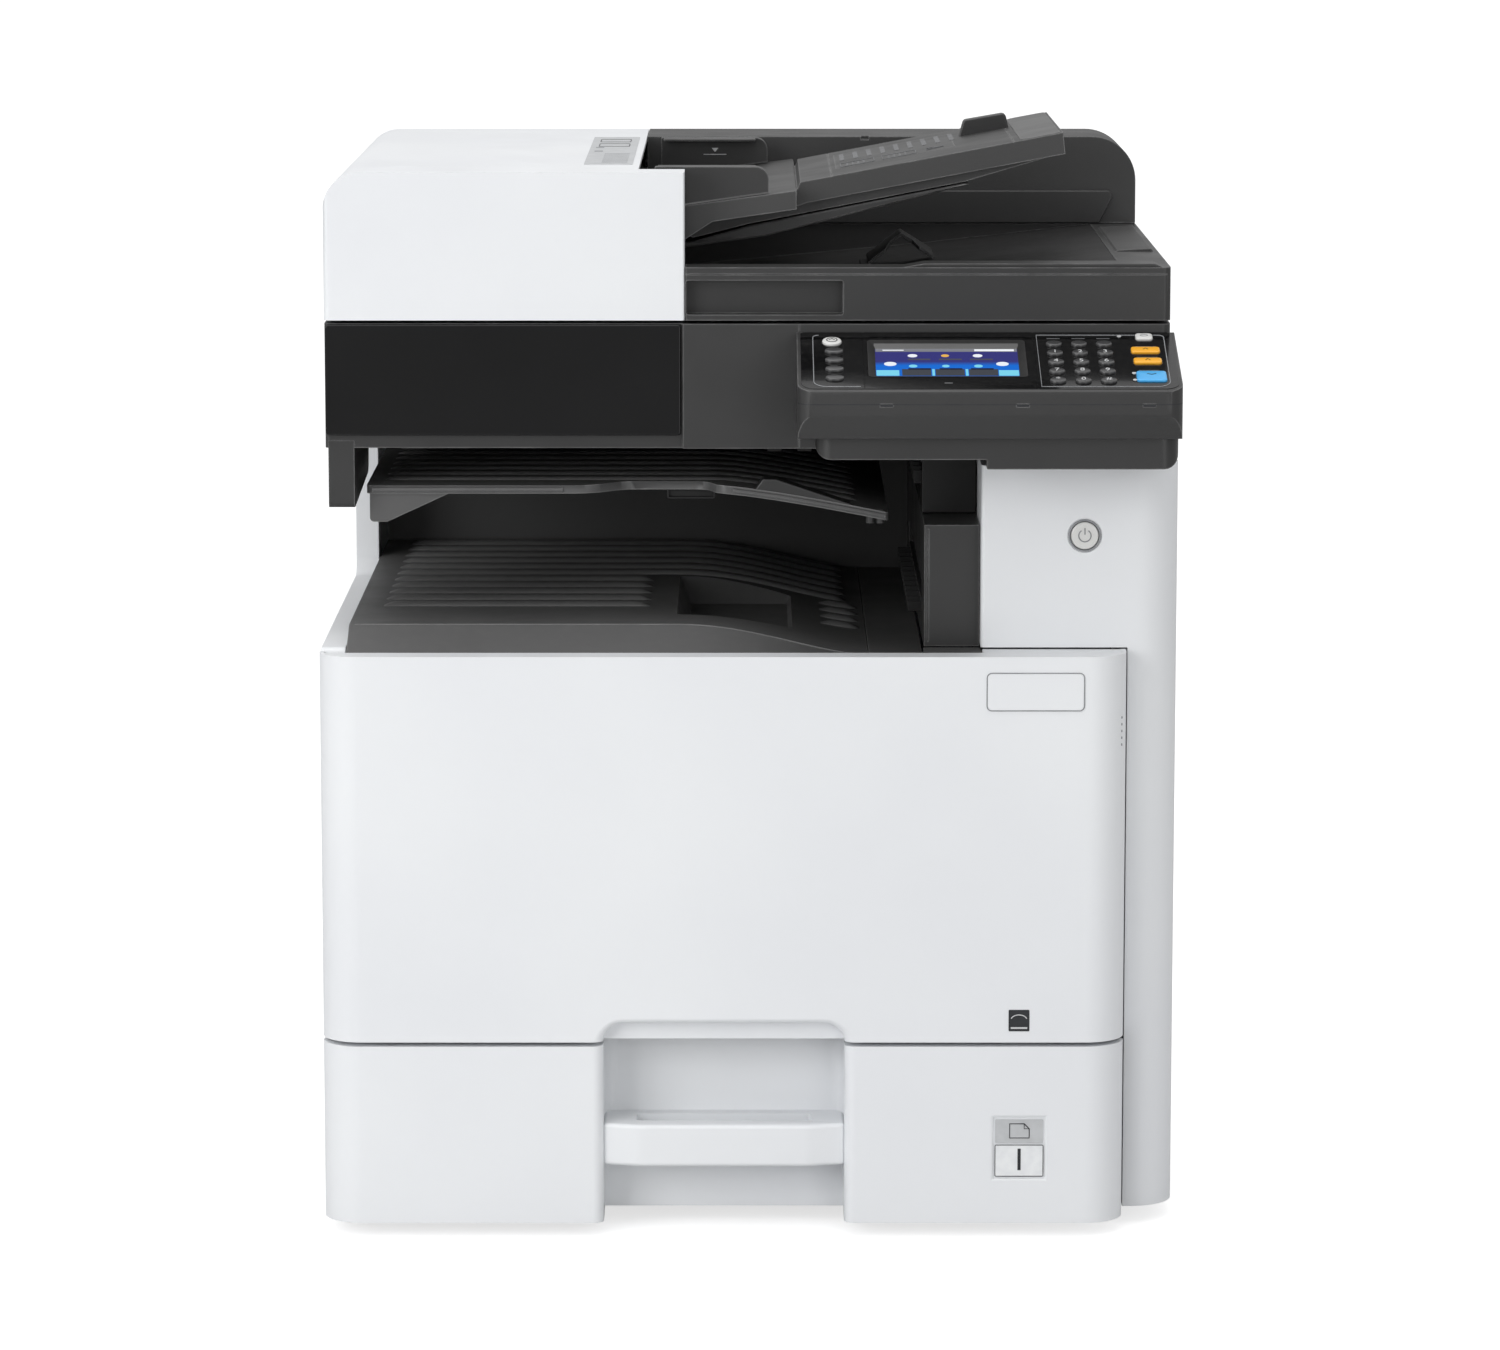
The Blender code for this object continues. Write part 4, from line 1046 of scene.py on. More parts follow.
    def inside(self) -> None:
        """The tray's ribs and rails, the lift plate's pads and the guides' finger grips."""
        keep("cassette_tray", GREY, 0.001)
        keep("lift_plate", ZINC, 0.0006)
        bm = bmesh.new()
        for step in range(9):
            y = -0.19 + 0.05225 * step
            if abs(y) < 0.24:
                add_rib(bm, [Vector((x, y, 0.0219)) for x in (-0.245, -0.24, -0.16)], 0.0012, 0.0012, 0.004)
        place(settle(bm, "cassette_floor_ribs"), GREY, "cassette")
        rails = row((-0.2585, -0.18, 0.06), (0.0063, 0.03, 0.006), (0, 0.13, 0), 4)
        place(soften(boxes("cassette_side_rails", rails), 0.001), GREY, "cassette")
        pads = row((0.196, -0.06, 0.0254), (0.026, 0.03, 0.0008), (0, 0.07, 0), 3)
        place(soften(boxes("lift_plate_pads", pads), 0.0003, 2), ROLLER, "lift_plate")
        for name, side in (("width_guide_front", -1), ("width_guide_rear", 1)):
            keep(name, GREY, 0.0006)
            wall = 0.025 + side * 0.1515
            low = min(wall, wall + side * 0.002)
            spans = row((-0.128, low, 0.06), (0.0045, 0.002, 0.022), (0.009, 0, 0), 5)
            place(soften(boxes(name + "_grip", spans), 0.0006), GREY, name)
        keep("length_guide", GREY, 0.0006)
        spans = row((-0.2203, 0.006, 0.06), (0.0018, 0.0045, 0.022), (0, 0.009, 0), 5)
        place(soften(boxes("length_guide_grip", spans), 0.0006), GREY, "length_guide")

    def build(self) -> None:
        """Builds the cassette."""
        place(self.front(), WHITE, "cassette", ["cassette_front"])
        place(self.handle(), WHITE, "cassette")
        self.window()
        self.inside()


# ------------------------ base and outer covers
@dataclass
class Base:
    """The sheet-metal bay and its four feet."""

    foot_radius: float = 0.018
    foot_height: float = 0.0117

    def foot(self, name: str, x: float, y: float) -> Thing:
        """One foot, with a grooved side and a hollow under it."""
        radius, top = self.foot_radius, self.foot_height
        stations = [(0.0008, 0.0105), (0.0008, 0.0125), (0.0, 0.0135), (0.0, radius - 0.002)]
        stations += [(0.0012, radius - 0.0004), (0.004, radius), (0.0055, radius - 0.001)]
        stations += [(0.007, radius), (top - 0.001, radius), (top, radius - 0.0008)]
        return lathe(name, stations, Axis.Z, (x, y, 0.0), 48)

    def build(self) -> None:
        """Builds the feet and dresses the bay."""
        keep("base_frame", ZINC, 0.0008)
        for side, x in (("left", -0.225), ("right", 0.225)):
            for end, y in (("front", -0.18), ("rear", 0.24)):
                node = f"foot_{end}_{side}"
                place(self.foot(f"rubber_{node}", x, y), FOOT, "housing", [node])


@dataclass
class OuterCovers:
    """The white covers at the sides and the back, with their vents and grips."""

    left: float = -0.2945
    right: float = 0.295
    rear: float = 0.295
    column_face: float = -0.224
    column_left: float = 0.1585
    column_top: float = 0.532
    corner: float = 0.03
    button_x: float = 0.2295
    button_z: float = 0.4836

    def left_cover(self) -> Thing:
        """The left cover and the pillar at its rear, with a lifting grip and a vent."""
        corners = [(-0.233, 0.012, 0.002), (0.289, 0.012, 0.002), (0.289, 0.5395, 0.004)]
        corners += [(0.144, 0.5395, 0.012), (0.144, 0.407, 0.012), (-0.233, 0.407, 0.006)]
        cover = prism("left_cover", rounded(corners, 8), Axis.X, self.left, -0.2775)
        hollow = box("hollow", (-0.2915, -0.23, 0.015), (-0.25, 0.286, 0.404))
        combine(hollow, box("up", (-0.2915, 0.147, 0.39), (-0.25, 0.286, 0.5365)), Join.ADD)
        combine(cover, hollow)
        vents = row((-0.296, 0.15, 0.07), (0.003, 0.11, 0.0035), (0, 0, 0.009), 12)
        combine(cover, boxes("vents", vents))
        grip = box("grip", (-0.3, -0.06, 0.3), (-0.288, 0.06, 0.328))
        combine(cover, box("grip_back", (-0.293, -0.066, 0.294), (-0.285, 0.066, 0.334)), Join.ADD)
        combine(cover, soften_now(grip, 0.004))
        return soften(cover, 0.0015, 3, 40)

    def column(self) -> Thing:
        """The front column, whose top widens beside the exit opening, with the button's dish."""
        corners = [(self.column_left, -0.15, 0), (self.column_left, self.column_face, 0.003)]
        corners += [(self.right, self.column_face, self.corner), (self.right, -0.15, 0)]
        column = prism("front_column", rounded(corners, 14), Axis.Z, 0.012, self.column_top)
        combine(column, box("step", (0.14, -0.26, 0.0), (0.2595, -0.1, 0.406)))
        for left, low, high in ((0.1615, 0.4115, 0.529), (0.2625, 0.015, 0.4145)):
            inner = [(left, -0.13, 0), (left, -0.221, 0), (0.292, -0.221, 0.027), (0.292, -0.13, 0)]
            combine(column, prism("inner", rounded(inner, 10), Axis.Z, low, high))
        for radius, depth in ((0.0102, 0.02), (0.0118, 0.0006)):
            ring = ellipse(self.button_x, self.button_z, radius, radius, 48)
            combine(column, prism("dish", ring, Axis.Y, -0.25, self.column_face + depth))
        return soften(column, 0.0012, 3, 40)

    def power_button(self) -> None:
        """The power button, its grey ring and the standby mark on it."""
        centre = (self.button_x, self.column_face + 0.0095, self.button_z)
        stations = [(0.0, 0.0094), (-0.0098, 0.0094), (-0.0103, 0.009), (-0.0105, 0.0082), (-0.0102, 0.004)]
        cap = lathe("power_button_cap", stations, Axis.Y, centre, 48)
        place(cap, WHITE_KEY, "power_button", ["power_button"])
        x, z = self.button_x, self.button_z
        ring = laid(ellipse(x, z, 0.0106, 0.0106, 48), Axis.Y, self.column_face - 0.0001)
        place(tube("power_button_ring", ring, 0.0007, closed=True), LINE)
        turns = [math.radians(125 + 290 * step / 24) for step in range(25)]
        arc = [(x + 0.0042 * math.cos(turn), z + 0.0042 * math.sin(turn)) for turn in turns]
        bar = [(x, z + 0.0008), (x, z + 0.0054)]
        marks = [tube("mark", laid(line, Axis.Y, self.column_face - 0.0009), 0.0004) for line in (arc, bar)]
        place(merge("standby_mark", marks), LINE, "power_button")

    def right_side(self) -> None:
        """The right cover, the conveying door and the bypass tray."""
        cover = box("right_cover", (0.2915, -0.1485, 0.012), (0.295, 0.29, 0.532))
        combine(cover, box("door_opening", (0.28, -0.1365, 0.1385), (0.31, 0.2455, 0.4415)))
        combine(cover, boxes("vents", row((0.2938, 0.06, 0.462), (0.004, 0.19, 0.0035), (0, 0, 0.009), 6)))
        low_vents = row((0.2938, -0.06, 0.04), (0.004, 0.005, 0.045), (0, 0.012, 0), 22)
        combine(cover, boxes("low_vents", low_vents))
        place(soften(cover, 0.001, 3, 40), WHITE, "housing", ["right_side_cover"])
        door = box("conveying_door", (0.262, -0.134, 0.14), (0.2945, 0.2435, 0.44))
        combine(door, box("tray_recess", (0.2805, -0.1015, 0.1585), (0.31, 0.2065, 0.4015)))
        combine(door, box("back", (0.24, -0.12, 0.152), (0.2675, 0.228, 0.428)))
        latch = box("latch", (0.2875, -0.128, 0.345), (0.31, -0.108, 0.405))
        combine(door, soften_now(latch, 0.003))
        place(soften(door, 0.0018, 3, 40), WHITE, "right_door", ["right_door"])
        place(soften(box("door_latch_lever", (0.2885, -0.125, 0.352), (0.2938, -0.111, 0.398)), 0.0018),
              SATIN, "right_door")
        tray = box("bypass_tray_panel", (0.2825, -0.1, 0.16), (0.2945, 0.205, 0.4))
        combine(tray, soften_now(box("pull", (0.2885, 0.015, 0.38), (0.31, 0.09, 0.393)), 0.002))
        combine(tray, box("inset", (0.29385, -0.08, 0.18), (0.31, 0.185, 0.366)))
        place(soften(tray, 0.0012, 3, 40), WHITE, "bypass_tray", ["bypass_tray"])
        guides = row((0.2795, -0.07, 0.175), (0.0031, 0.008, 0.155), (0, 0.235, 0), 2)
        place(soften(boxes("bypass_width_guides", guides), 0.0008), GREY, "bypass_tray")

    def screw(self, x: float, z: float) -> Thing:
        """One pan-head screw with a crossed recess, in the rear cover."""
        stations = [(0.0, 0.0038), (0.0008, 0.0038), (0.0016, 0.003), (0.002, 0.0016), (0.002, 0.0008)]
        head = lathe("screw", stations, Axis.Y, (x, self.rear - 0.0013, z), 24)
        low, high = self.rear + 0.0001, self.rear + 0.002
        for half_x, half_z in ((0.0022, 0.0004), (0.0004, 0.0022)):
            combine(head, box("slot", (x - half_x, low, z - half_z), (x + half_x, high, z + half_z)))
        return head

    def rear_side(self) -> None:
        """The rear cover with its vents, blank socket plate, screws and inlet."""
        lower = box("lower_back", (-0.2945, 0.2915, 0.012), (0.2945, self.rear, 0.2045))
        combine(lower, box("inlet_hole", (0.198, 0.28, 0.15), (0.232, 0.31, 0.178)))
        low_vents = row((-0.18, 0.2938, 0.06), (0.004, 0.004, 0.045), (0.01, 0, 0), 16)
        combine(lower, boxes("low_vents", low_vents))
        middle = box("middle_back", (-0.2945, 0.2915, 0.2055), (0.2945, self.rear, 0.3595))
        combine(middle, box("plate_well", (0.12, 0.294, 0.23), (0.26, 0.31, 0.33)))
        upper = box("upper_back", (-0.2945, 0.2915, 0.3605), (0.2945, self.rear, 0.536))
        combine(upper, boxes("vents", row((-0.2, 0.2938, 0.4), (0.004, 0.004, 0.07), (0.01, 0, 0), 22)))
        cover = merge("back_covers", [lower, middle, upper])
        place(soften(cover, 0.0007, 2, 40), WHITE, "housing", ["rear_cover"])
        inner = panel_outline(0.1215, 0.2585, 0.2315, 0.3285, 0.003)
        inner = prism("socket_plate", inner, Axis.Y, 0.2925, 0.2946)
        ports = [(0.14, 0.3, 0.016, 0.014), (0.17, 0.3, 0.014, 0.007), (0.17, 0.312, 0.014, 0.007)]
        ports += [(0.2, 0.3, 0.016, 0.014), (0.15, 0.255, 0.036, 0.01)]
        wells = [((x, 0.2935, z), (x + width, 0.3, z + height)) for x, z, width, height in ports]
        combine(inner, boxes("ports", wells))
        place(soften(inner, 0.0004, 2, 40), GREY)
        spots = [(x, z) for x in (-0.28, 0.28) for z in (0.03, 0.2, 0.34, 0.38, 0.515)]
        spots += [(x, 0.515) for x in (-0.1, 0.1)]
        place(merge("rear_screws", [self.screw(x, z) for x, z in spots]), ZINC)
        inlet = box("mains_inlet", (0.1985, 0.268, 0.1505), (0.2315, 0.2945, 0.1775))
        socket = rounded([(0.203, 0.155, 0.001), (0.227, 0.155, 0.001), (0.227, 0.169, 0.004),
                          (0.223, 0.173, 0.002), (0.207, 0.173, 0.002), (0.203, 0.169, 0.004)], 3)
        combine(inlet, prism("socket", socket, Axis.Y, 0.279, 0.31))
        place(soften(inlet, 0.0005, 2, 40), DEEP, "housing", ["power_inlet"])
        pins = [((x, 0.2785, z), (x + 0.002, 0.2915, z + 0.004)) for x, z in
                ((0.2085, 0.16), (0.214, 0.164), (0.2195, 0.16))]
        place(soften(boxes("inlet_pins", pins), 0.0004, 2), ZINC)

    def build(self) -> None:
        """Builds the covers."""
        place(self.left_cover(), WHITE, "housing", ["left_side_cover"])
        place(self.column(), WHITE, "housing", ["front_right_cover"])
        self.power_button()
        self.right_side()
        self.rear_side()


# ------------------------ engine behind the front cover
@dataclass
class Engine:
    """What shows when the front cover or the conveying door is open."""

    pitch: float = 0.09
    first: float = -0.185

    def toner(self, index: int, name: str, finish: Finish) -> None:
        """One toner container's front: a coloured band and a turning handle."""
        keep(f"toner_container_{name}", DEEP, 0.0015)
        x = self.first + self.pitch * index
        stations = [(0, 0.022), (-0.001, 0.022), (-0.003, 0.02), (-0.003, 0.0165), (-0.0015, 0.0155)]
        stations += [(-0.0015, 0.001)]
        cap = lathe(f"toner_cap_{name}", stations, Axis.Y, (x, -0.2274, 0.325), 40)
        place(cap, finish)
        key = box(f"toner_handle_{name}", (x - 0.0035, -0.2345, 0.311), (x + 0.0035, -0.2288, 0.339))
        place(soften(key, 0.0018), SATIN)

    def build(self) -> None:
        """Dresses the inner units and adds their small parts."""
        keep("front_frame", GREY, 0.0012)
        inks = [("cyan", (30, 150, 200)), ("magenta", (200, 50, 120)), ("yellow", (236, 200, 40))]
        inks += [("black", (40, 40, 42))]
        for index, (name, colour) in enumerate(inks):
            drift = tuple(max(0, value - 10) for value in colour)
            self.toner(index, name, Moulded(f"toner_{name}", "dark_plastic", colour, drift, 0.4))
        keep("waste_toner_box", WHITE_KEY, 0.003, 3)
        latches = row((-0.235, -0.2462, 0.19), (0.018, 0.0038, 0.022), (0.255, 0, 0), 2)
        place(soften(boxes("waste_box_latches", latches), 0.0015), YELLOW)
        for node in ("laser_unit", "transfer_belt_unit", "fuser_unit"):
            keep(node, DEEP, 0.0012)
        keep("power_supply", ZINC, 0.0006)
        keep("fuser_roller", ROLLER, 0.0004)
        keep("pickup_roller", ROLLER, 0.0004)
        spans = row((0.2575, -0.184, 0.3), (0.0025, 0.004, 0.076), (0, 0.04, 0), 10)
        place(soften(boxes("fuser_guide_ribs", spans), 0.0006), DEEP)
        knobs = [lathe("knob", [(0, 0.009), (-0.003, 0.009), (-0.0045, 0.0075)], Axis.Y, (x, -0.2252, z), 32)
                 for x, z in ((0.12, 0.2), (0.205, 0.2), (0.205, 0.255))]
        place(merge("inner_frame_knobs", knobs), BLUE)


# ------------------------ paper exit space
@dataclass
class ExitSpace:
    """The two exit trays, the unit that ejects onto them and the walls round them."""

    front: float = -0.2435
    back: float = 0.2395
    left: float = -0.2765
    right: float = 0.119
    bottom: float = 0.3925
    tray_z: float = 0.4199
    rib_pitch: float = 0.033
    first_rib: float = -0.116

    def tray_height(self, x: float) -> float:
        """Height of the exit tray's surface at x: level, then a long fall to the right."""
        share = min(1.0, max(0.0, (x + 0.05) / 0.13))
        return self.tray_z - 0.0212 * share * share * (3 - 2 * share) * (0.62 + 0.38 * share)

    def tray(self) -> Thing:
        """The exit tray, with a sloping front and a deep pocket for fingers."""
        sections = []
        for x in [self.left, *(-0.05 + 0.13 * step / 16 for step in range(17)), self.right]:
            top = self.tray_height(x)
            lip = min(0.4045, top - 0.0012)
            section = [(self.front, self.bottom), (self.front, lip - 0.001), (self.front + 0.001, lip)]
            section += [(-0.21, top - 0.0006), (-0.208, top), (self.back, top), (self.back, self.bottom)]
            sections.append([Vector((x, y, z)) for y, z in section])
        bm = bmesh.new()
        loft(bm, sections)
        tray = settle(bm, "exit_tray_deck")
        upper = panel_outline(-0.0525, 0.0365, -0.1645, 0.0395, 0.004, 4)
        lower = panel_outline(-0.043, 0.027, -0.137, 0.01, 0.004, 4)
        combine(tray, stepped("pocket", Axis.Z, [(0.403, lower), (0.423, upper)]))
        combine(tray, box("seam", (0.0815, -0.26, 0.3975), (0.0823, 0.25, 0.43)))
        return soften(tray, 0.0008, 2, 32)

    def crest(self) -> Thing:
        """The fine raised line where the tray's sloping front meets its top, in the paler finish as a painted
        highlight along that edge.
        """
        xs = [self.left + 0.004, *(-0.05 + 0.13 * step / 16 for step in range(17))]
        line = [(x, self.tray_height(x) - 0.0002) for x in xs]
        return tube("exit_tray_crest", laid(line, Axis.Y, -0.2087), 0.0007)

    def ribs(self) -> Thing:
        """The ribs that carry the sheets, stopped either side of the pocket."""
        bm = bmesh.new()
        for index in range(11):
            y = self.first_rib + self.rib_pitch * index
            runs = [(-0.258, -0.07), (0.05, 0.078)] if y < 0.045 else [(-0.258, 0.07)]
            if index == 0:
                runs = runs[:1]
            for start, end in runs:
                count = max(3, int((end - start) / 0.012))
                xs = [start + (end - start) * step / count for step in range(count + 1)]
                xs = [start, start + 0.003, start + 0.007, *xs[1:-1], end - 0.007, end - 0.003, end]
                line = [(x, self.tray_height(x) - 0.0002) for x in sorted(xs)]
                add_rib(bm, laid(line, Axis.Y, y), 0.005, 0.0034, 0.01)
        return settle(bm, "exit_tray_ribs")

    def upper_height(self, x: float) -> float:
        """Height of the inner tray's surface at x."""
        share = min(1.0, max(0.0, (x + 0.02) / 0.116))
        return 0.5117 - 0.019 * (share**1.25)

    def inner_tray(self) -> Thing:
        """The thin tray above, with a round notch in its front edge and a bracket at its left."""
        edge = [(-0.266, self.back, 0), (-0.266, -0.17, 0.005), (-0.112, -0.17, 0.03)]
        edge += [(-0.086, -0.146, 0.016), (-0.03, -0.146, 0.012), (-0.022, -0.17, 0.01)]
        edge += [(0.096, -0.17, 0.003), (0.096, self.back, 0)]
        tray = prism("inner_tray_deck", rounded(edge, 6), Axis.Z, 0.48, 0.53)
        xs = [-0.28, *(-0.02 + 0.116 * step / 12 for step in range(13)), 0.11]
        outline = [(x, self.upper_height(x)) for x in xs]
        outline += [(x, z - 0.0058) for x, z in reversed(outline)]
        combine(tray, prism("profile", outline, Axis.Y, -0.2, 0.25), Join.KEEP)
        bracket = [(-0.264, 0.509, 0), (-0.202, 0.509, 0), (-0.252, 0.486, 0.004), (-0.264, 0.486, 0.003)]
        combine(tray, prism("bracket", rounded(bracket, 4), Axis.Y, -0.168, -0.11), Join.ADD)
        return soften(tray, 0.001, 3, 35)

    def inner_ribs(self) -> Thing:
        """The inner tray's ribs."""
        bm = bmesh.new()
        xs = [-0.255, -0.252, -0.246, *(-0.23 + 0.02 * step for step in range(15)), 0.066, 0.072, 0.075]
        line = [(x, self.upper_height(x) - 0.0002) for x in xs]
        for index in range(12):
            add_rib(bm, laid(line, Axis.Y, -0.134 + 0.031 * index), 0.0045, 0.0022, 0.008)
        return settle(bm, "inner_tray_ribs")

    def inner_fittings(self) -> None:
        """The raised flap, the front bead, the catch and the small knobs of the inner tray; the bead's pale
        finish is a painted highlight along the front edge.
        """
        flap = [(0.003, 0.5078), (0.009, 0.516), (0.018, 0.5158), (0.07, 0.4985), (0.07, 0.496)]
        place(soften(prism("inner_tray_flap", flap, Axis.Y, -0.1695, -0.15), 0.0008), SATIN)
        beads = []
        for xs in ((-0.262, -0.2, -0.13), (-0.012, 0.02, 0.05, 0.08, 0.094)):
            line = [(x, self.upper_height(x) - 0.003) for x in xs]
            beads.append(tube("bead", laid(line, Axis.Y, -0.1702), 0.0017))
        # The beads' pale finish is a painted highlight along the tray's front edge.
        place(merge("inner_tray_beads", beads), PALE_SATIN)
        catch = [(-0.058, 0.499, 0.002), (-0.024, 0.499, 0.002), (-0.024, 0.5058, 0), (-0.058, 0.5058, 0)]
        loop = prism("tray_catch", rounded(catch, 3), Axis.Y, -0.144, -0.138)
        combine(loop, box("gap", (-0.0565, -0.16, 0.5005), (-0.0255, -0.1415, 0.505)))
        place(soften(loop, 0.0006), DEEP)
        for index, x in enumerate((0.0835, 0.0905)):
            stations = [(0, 0.002), (0.001, 0.003), (0.009, 0.003), (0.01, 0.002)]
            knob = lathe(f"tray_end_knob_{index}", stations, Axis.Z, (x, -0.167, 0.4845), 20)
            place(knob, SATIN)

    def exit_unit(self) -> None:
        """The ejecting unit: a grained block with slots, guide fins and rollers."""
        unit = box("exit_block", (0.12, -0.208, 0.4045), (0.158, 0.2395, 0.489))
        combine(unit, box("slot", (0.1, -0.15, 0.4265), (0.136, 0.18, 0.4425)))
        combine(unit, box("panel_line", (0.1222, -0.22, 0.408), (0.1232, -0.2074, 0.486)))
        place(soften(unit, 0.0016, 3, 40), SATIN, "housing", ["exit_unit"])
        upper = box("upper_exit_block", (0.12, -0.148, 0.4895), (0.158, 0.2395, 0.5385))
        combine(upper, box("upper_slot", (0.1, -0.14, 0.518), (0.13, 0.19, 0.528)))
        place(soften(upper, 0.0012, 3, 40), DEEP)
        fins = row((0.1105, -0.14, 0.419), (0.01, 0.0018, 0.0072), (0, 0.026, 0), 12)
        fins += row((0.1145, -0.13, 0.508), (0.006, 0.0018, 0.0096), (0, 0.026, 0), 12)
        place(soften(boxes("exit_guide_fins", fins), 0.0005, 2), DEEP)
        keep("exit_roller", ROLLER)
        stations = [(0.0, 0.0025)]
        for start in (0.03, 0.11, 0.19, 0.27):
            profile = [(0.0, 0.0025), (0.001, 0.0042), (0.024, 0.0042), (0.025, 0.0025)]
            stations += [(start + along, radius) for along, radius in profile]
        stations.append((0.318, 0.0025))
        rollers = lathe("upper_exit_rollers", stations, Axis.Y, (0.1235, -0.135, 0.523), 24)
        place(rollers, ROLLER)

    def walls(self) -> None:
        """The wall behind the trays, the ledges at their right and the clips over the upper tray."""
        keep("inner_back_wall", TEXTURED)
        ledge = box("column_ledge", (0.1595, -0.244, 0.3985), (0.256, -0.2235, 0.405))
        place(soften(ledge, 0.0008), WHITE)
        ledge = box("tray_end_ledge", (0.1195, -0.244, 0.3985), (0.159, -0.2085, 0.404))
        place(soften(ledge, 0.0008), GRAINED)
        clips = row((0.012, -0.15, 0.533), (0.01, 0.008, 0.0058), (0.021, 0, 0), 4)
        place(soften(boxes("upper_wall_clips", clips), 0.0006), DEEP)

    def build(self) -> None:
        """Builds the exit space."""
        tray = place(self.tray(), GRAINED, "housing", ["exit_tray"])

        def on_front_slope(centre: Vector, normal: Vector) -> bool:
            """Whether a face lies on the tray's sloping front."""
            return centre.y < -0.209 and centre.x < 0.081 and normal.z > 0.5

        # The sloping front is painted paler: painted light where the front lamps fall on it.
        repaint(tray, PALE_SATIN, on_front_slope)
        # The crest's pale finish is a painted highlight along the slope's edge.
        place(self.crest(), PALE_SATIN)
        place(self.ribs(), GRAINED)
        place(self.inner_tray(), PALE_SATIN, "housing", ["inner_tray"])
        place(self.inner_ribs(), PALE_SATIN)
        self.inner_fittings()
        self.exit_unit()
        self.walls()


# ------------------------ scanner
@dataclass
class Scanner:
    """The scanner housing, its glasses, the gloss front panel and the carriage under the glass."""

    left: float = -0.293
    right: float = 0.289
    face: float = -0.193
    rear: float = 0.29
    bottom: float = 0.54
    top: float = 0.6262
    step_x: float = -0.0465

    def housing(self) -> Thing:
        """The housing: a deep box under the glass, with a skirt at its front left corner."""
        plan = [(self.left, self.face + 0.0045, 0.003), (self.step_x, self.face + 0.0045, 0)]
        plan += [(self.step_x, self.face, 0.001), (self.right, self.face, 0.006)]
        plan += [(self.right, self.rear, 0.008), (self.left, self.rear, 0.008)]
        housing = prism("scanner_body", rounded(plan, 6), Axis.Z, self.bottom, self.top)
        inside = box("inside", (-0.289, -0.1845, self.bottom + 0.0035), (0.285, 0.286, self.top - 0.005))
        combine(housing, inside)
        skirt = [(-0.1885, 0.545, 0), (-0.1885, 0.498, 0.004), (-0.035, 0.506, 0.01), (-0.035, 0.545, 0)]
        combine(housing, prism("skirt", rounded(skirt, 4), Axis.X, -0.291, -0.273), Join.ADD)
        combine(housing, box("rail", (-0.29, -0.001, self.bottom + 0.002), (0.286, 0.009, 0.5645)), Join.ADD)
        for low, high in ((-0.2155, 0.2155), (-0.2625, -0.2395)):
            combine(housing, box("window", (low, -0.1485, 0.61), (high, 0.1565, 0.65)))
        combine(housing, box("seam", (0.0335, -0.2, 0.5), (0.0341, self.face + 0.0008, 0.63)))
        sides = [((0.2882, -0.185, 0.584), (0.3, 0.285, 0.5848))]
        sides += [((-0.3, -0.18, 0.584), (-0.2922, 0.285, 0.5848))]
        combine(housing, boxes("side_lines", sides))
        return soften(housing, 0.001, 3, 35)

    def front_panel(self) -> Thing:
        """The gloss black panel at the left of the front."""
        outline = panel_outline(-0.2925, -0.0475, 0.549, 0.6255, 0.0022)
        return soften(prism("gloss_front_panel", outline, Axis.Y, self.face, -0.189), 0.0012, 4)

    def scale_marks(self) -> Thing:
        """The size marks at the left edge of the glass."""
        low, pitch = self.top - 0.0002, 0.0148
        marks = row((-0.23, -0.145, low), (0.01, 0.0006, 0.0003), (0, 2 * pitch, 0), 11)
        marks += row((-0.23, -0.145 + pitch, low), (0.006, 0.0006, 0.0003), (0, 2 * pitch, 0), 10)
        return boxes("glass_size_marks", marks)

    def hinges(self) -> Thing:
        """The two lid hinges at the rear, seen from behind."""
        corners = [(0.268, 0.59, 0.003), (0.2935, 0.59, 0.004), (0.2935, 0.6262, 0.003), (0.268, 0.6262, 0)]
        parts = [prism("hinge", rounded(corners, 4), Axis.X, x, x + 0.05) for x in (-0.225, 0.175)]
        return soften(merge("lid_hinge_blocks", parts), 0.0012)

    def carriage(self) -> Thing:
        """The carriage's lamp bar and its slit."""
        spans = ((-0.272, -0.255), (-0.249, -0.231))
        bars = [((low, -0.148, 0.6192), (high, 0.156, 0.6204)) for low, high in spans]
        return soften(boxes("carriage_lamp_bars", bars), 0.0004, 2)

    def build(self) -> None:
        """Builds the scanner."""
        place(self.housing(), SATIN, "housing", ["scanner_housing"])
        place(self.front_panel(), GLOSS, "housing", ["scanner_left_panel"])
        keep("platen_glass", PANE)
        keep("slit_glass", PANE)
        place(self.scale_marks(), PALE)
        place(self.hinges(), SATIN)
        keep("scan_carriage", DEEP, 0.001)
        place(self.carriage(), PALE, "scan_carriage")


